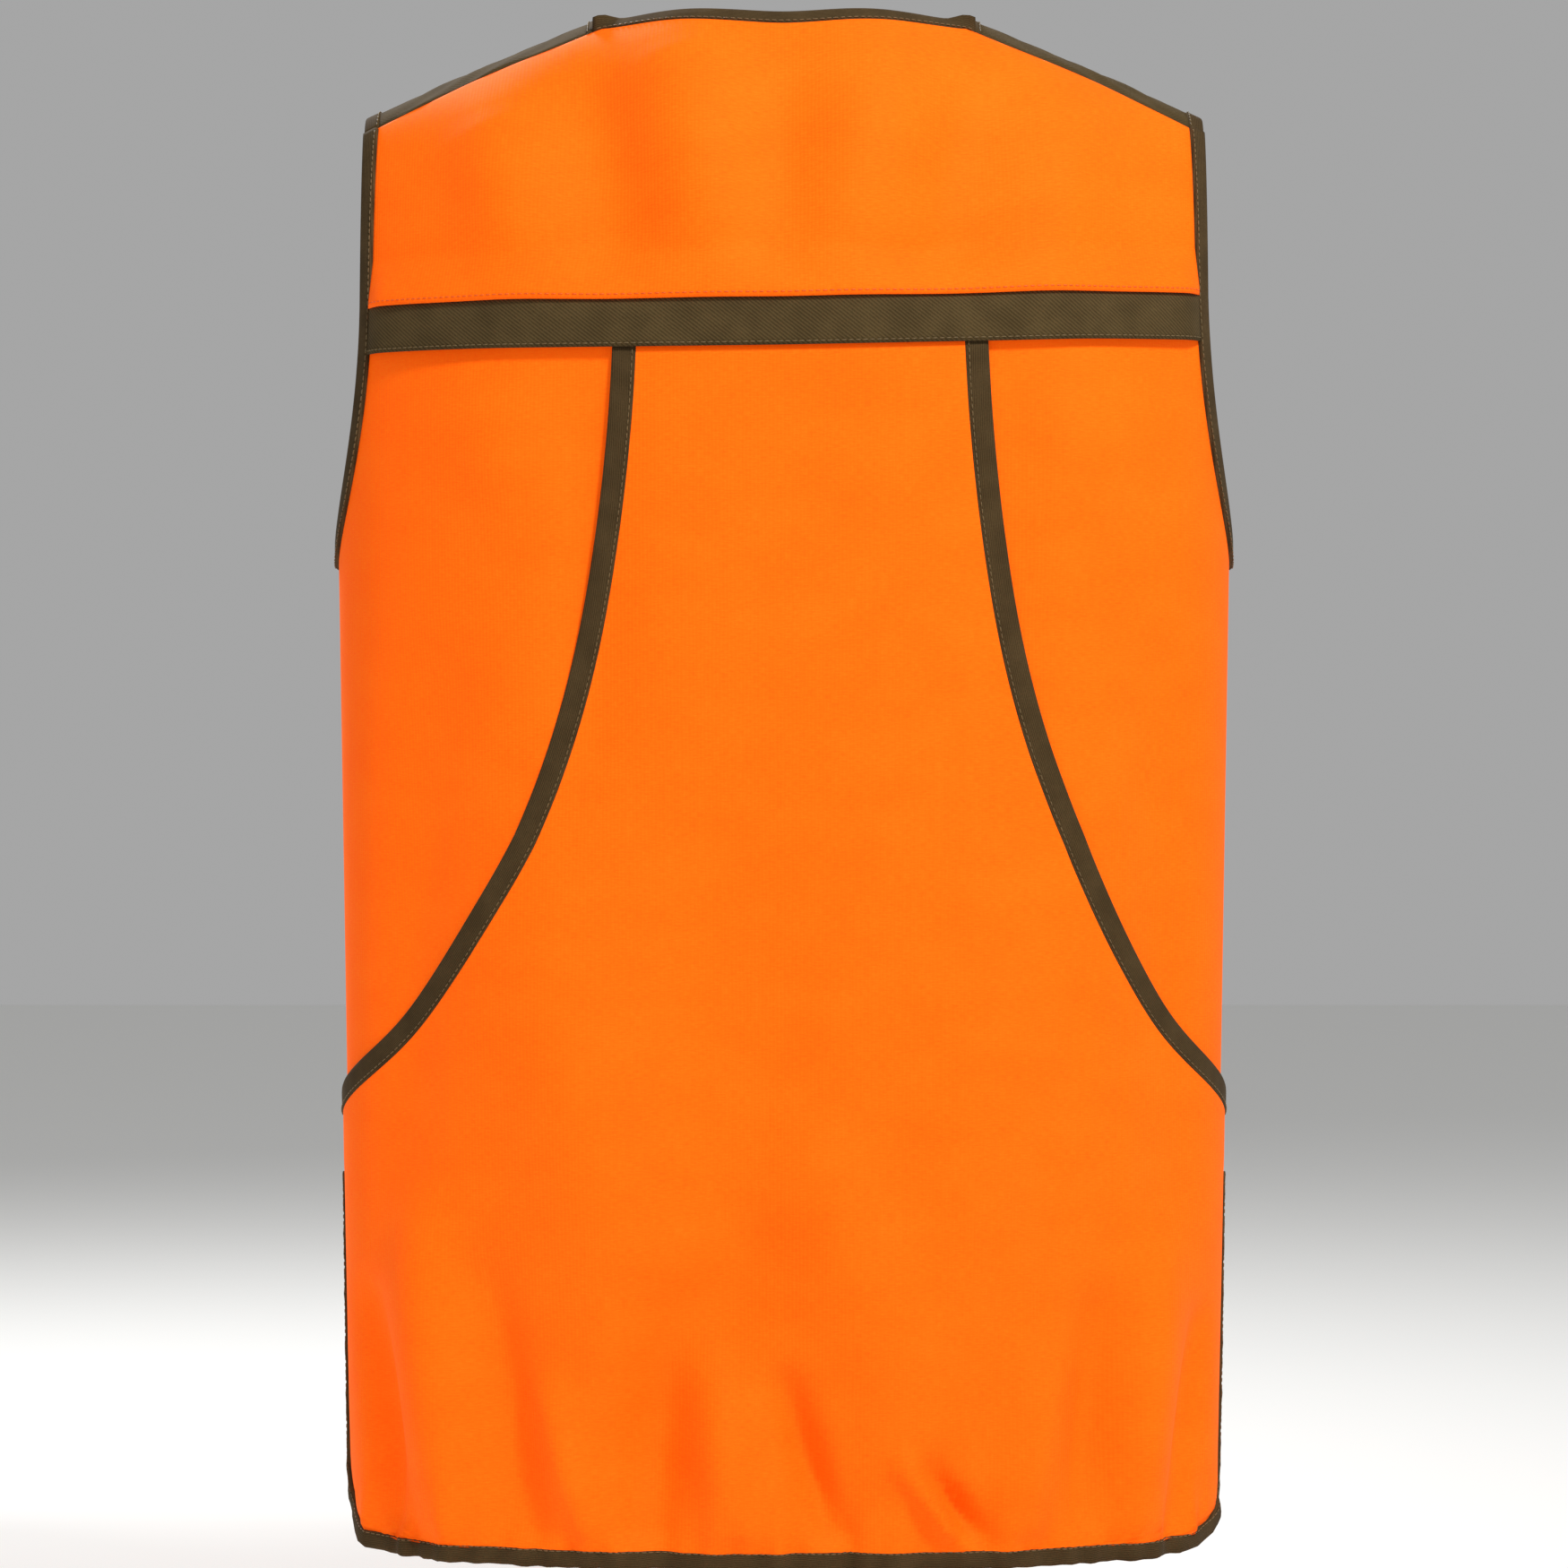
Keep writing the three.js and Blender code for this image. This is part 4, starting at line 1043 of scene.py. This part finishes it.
# %% [markdown]
# ## Pockets, flaps and press studs
# Each patch pocket is a flat piece with its edges turned under and sewn down, so it stands off the
# front a little and rolls over at its edges. The flap is sewn along its top and closes with a
# press stud. The flap turns about its sewn edge.

# %% Pockets and flaps
POCKETS = {"cargo": (46, 168, 48, 205, 62), "chest": (52, 148, 375, 500, 46)}
FLAP_LIFT = 7.6 * MM


def patch(x0, x1, z0, z1, sign, columns=48, rows=44):
    z = np.linspace(z0, z1, rows)
    u, v = between(np.linspace(0, 1, rows), np.linspace(0, 1, columns))
    z = z0 + (z1 - z0) * v
    return u, v, sign * length_at(x0 + (x1 - x0) * u, z), z


def roll(share):
    """1 inside the piece, falling in a round to 0 at both its edges"""
    return 1 - np.abs(2 * share - 1) ** 14


def turned(name, centre, normal, profile, finish, sides=40):
    """A round piece from its profile: distance from the axis and height along it, in mm"""
    normal = normal / np.linalg.norm(normal)
    first = np.cross(normal, [0, 0, 1.0])
    first /= np.linalg.norm(first)
    second = np.cross(normal, first)
    ring = np.linspace(0, 2 * math.pi, sides, endpoint=False)
    points, faces = [], []
    for radius, height in profile:
        circle = np.cos(ring)[:, None] * first + np.sin(ring)[:, None] * second
        points.append(centre + normal * height * MM + circle * radius * MM)
    at = np.arange(len(profile) * sides).reshape(len(profile), sides)
    nxt = np.roll(at, -1, axis=1)
    faces = np.stack([at[:-1], nxt[:-1], nxt[1:], at[1:]], axis=-1).reshape(-1, 4).tolist()
    faces += [at[0, ::-1].tolist(), at[-1].tolist()]
    piece = mesh_piece(name, np.concatenate(points), faces, finish)
    fix_facing(piece)
    return piece


CAP = [(0.3, 0), (5.6, 0), (6, 0.3), (6, 0.8), (5.7, 1.15), (5.1, 1.2), (4.7, 1.0), (4.2, 1.05),
       (3.2, 1.45), (1.8, 1.65), (0.3, 1.7)]


def pocket(kind, name, sign):
    x0, x1, z0, z1, flap = (value * MM for value in POCKETS[kind])
    u, v, length, z = patch(x0, x1, z0, z1 - 6 * MM, sign)
    fill = 1.5 * MM + 3.0 * MM * roll(u) * (1 - (1 - v) ** 14)
    outer, normal = lay(length, z, FRONT, fill + CLOTH)
    bag = cloth_of(f"{kind}_pocket_cloth_{name}", outer, normal, length, z, orange)
    declare(bag, f"front_{name}", [f"{kind}_pocket_{name}"])
    edge = [(u[:, 2], 2), (u[:, -3], -3)]
    runs = [(outer[:, column], normal[:, column]) for _, column in edge] + [(outer[2], normal[2])]
    pocket_stitches = stitches(f"{kind}_pocket_stitches_{name}", runs, orange_thread)
    declare(pocket_stitches, f"front_{name}", [])

    body = f"cargo_flap_{name}" if kind == "cargo" else "chest_flap"
    u, v, length, z = patch(x0 - 3 * MM, x1 + 3 * MM, z1 - flap, z1 + 8 * MM, sign, rows=36)
    # the lower corners of the flap are cut off at a slant
    slant = np.clip((10 * MM - np.minimum(u, 1 - u) * (x1 - x0)) / (10 * MM), 0, 1)
    z = z + slant * 9 * MM * (1 - v) ** 1.5
    root = np.clip((z - (z1 - 6 * MM)) / (14 * MM), 0, 1)
    rise = FLAP_LIFT * (1 - root) + 2.6 * MM * root
    outer, normal = lay(length, z, FRONT, rise)
    cover = cloth_of(f"{kind}_flap_twill_{name}", outer, normal, length, z, olive_twill, 1.4 * MM)
    declare(cover, body, [f"{kind}_flap_{name}"])
    runs = [(outer[:, 2], normal[:, 2]), (outer[:, -3], normal[:, -3]), (outer[2], normal[2]),
            (outer[-2], normal[-2])]
    declare(stitches(f"{kind}_flap_stitches_{name}", runs, olive_thread), body, [])

    stud_z = z1 - flap * 0.7
    stud_length = sign * length_at((x0 + x1) / 2, stud_z)
    p, n = lay(stud_length, stud_z, FRONT, FLAP_LIFT)
    cap = turned(f"{kind}_stud_cap_round_{name}", p, n, CAP, gunmetal)
    declare(cap, body, [f"{kind}_stud_cap_{name}"])
    refinish(f"{kind}_stud_post_{name}", gunmetal)


for name, sign in SIDES:
    pocket("cargo", name, sign)
pocket("chest", "left", 1)

# %% [markdown]
# ## Hanger loop
# A narrow folded tape is caught at both ends under the neck tape. It hangs in a shallow U inside
# the back of the neck.

# %% Hanger loop
low, high = (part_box("hanger_loop")[i] for i in (0, 1))
sweep = np.linspace(-1, 1, 60)
loop_x = sweep * (high[0] - 2 * MM)
loop_z = high[2] - (high[2] - low[2] - 2 * MM) * (1 - np.abs(sweep) ** 5) + LENGTH
loop_y = np.full_like(sweep, (low[1] + high[1]) / 2)
loop_path = np.stack([loop_x, loop_y, loop_z], axis=-1)
facing = np.broadcast_to([0, -1.0, 0], loop_path.shape).copy()
loop, flat = tape("hanger_loop_tape", (loop_path, facing), np.array([0, loop_y[0], LENGTH]), olive_tape,
                  width=2 * MM, over=2 * MM, thick=1.4 * MM)
declare(loop, "back", ["hanger_loop"])

# %% [markdown]
# ## Camera, light and ground
# The vest is looked at squarely from behind, from a little over two and a half metres, at half its
# height. The room is white, with one large soft light up and to the side, so folds read by their
# colour and not by hard shadow. The ground is pale and well below the hem, since the vest hangs.

# %% Camera, lights, ground
CENTRE = -384 * MM
CAMERA_AWAY = 2.6
FRAME_WIDTH = 0.796
SENSOR = 36
camera = bpy.data.objects.new("camera", bpy.data.cameras.new("camera"))
camera.location = (0, CAMERA_AWAY, CENTRE)
camera.rotation_euler = (math.pi / 2, 0, math.pi)
camera.data.sensor_width = SENSOR
camera.data.lens = SENSOR * CAMERA_AWAY / FRAME_WIDTH
bpy.context.scene.collection.objects.link(camera)
bpy.context.scene.camera = camera
world = bpy.data.worlds.new("studio")
bpy.context.scene.world = world
world.use_nodes = True
world.node_tree.nodes["Background"].inputs["Color"].default_value = (1, 1, 1, 1)
world.node_tree.nodes["Background"].inputs["Strength"].default_value = 0.38


def soft_light(name, place, size, power, aim=(0, 0, CENTRE)):
    from mathutils import Vector
    data = bpy.data.lights.new(name, "AREA")
    data.shape, data.size, data.energy = "DISK", size, power
    lamp = bpy.data.objects.new(name, data)
    lamp.location = place
    lamp.rotation_euler = (Vector(aim) - Vector(place)).to_track_quat("-Z", "Y").to_euler()
    bpy.context.scene.collection.objects.link(lamp)


soft_light("key", (-0.9, 1.7, 1.6), 0.5, 54)
soft_light("front_key", (0.9, -1.8, 1.5), 0.5, 50)
bpy.context.scene.view_settings.view_transform = "Standard"


# %% Ground
GROUND = -LENGTH - 0.12
floor_mesh = bpy.data.meshes.new("floor")
FLOOR_HALF = 9
floor_corners = [(FLOOR_HALF * x, FLOOR_HALF * y, GROUND) for x, y in ((-1, -1), (1, -1), (1, 1), (-1, 1))]
floor_mesh.from_pydata(floor_corners, [], [(0, 1, 2, 3)])
floor = bpy.data.objects.new("floor", floor_mesh)
bpy.context.scene.collection.objects.link(floor)
pale, tree, surface = finish_of("pale_floor", Roughness=0.9, Specular_IOR_Level=0.1)
surface.inputs["Base Color"].default_value = srgb("#F7F7F5")
floor_mesh.materials.append(pale)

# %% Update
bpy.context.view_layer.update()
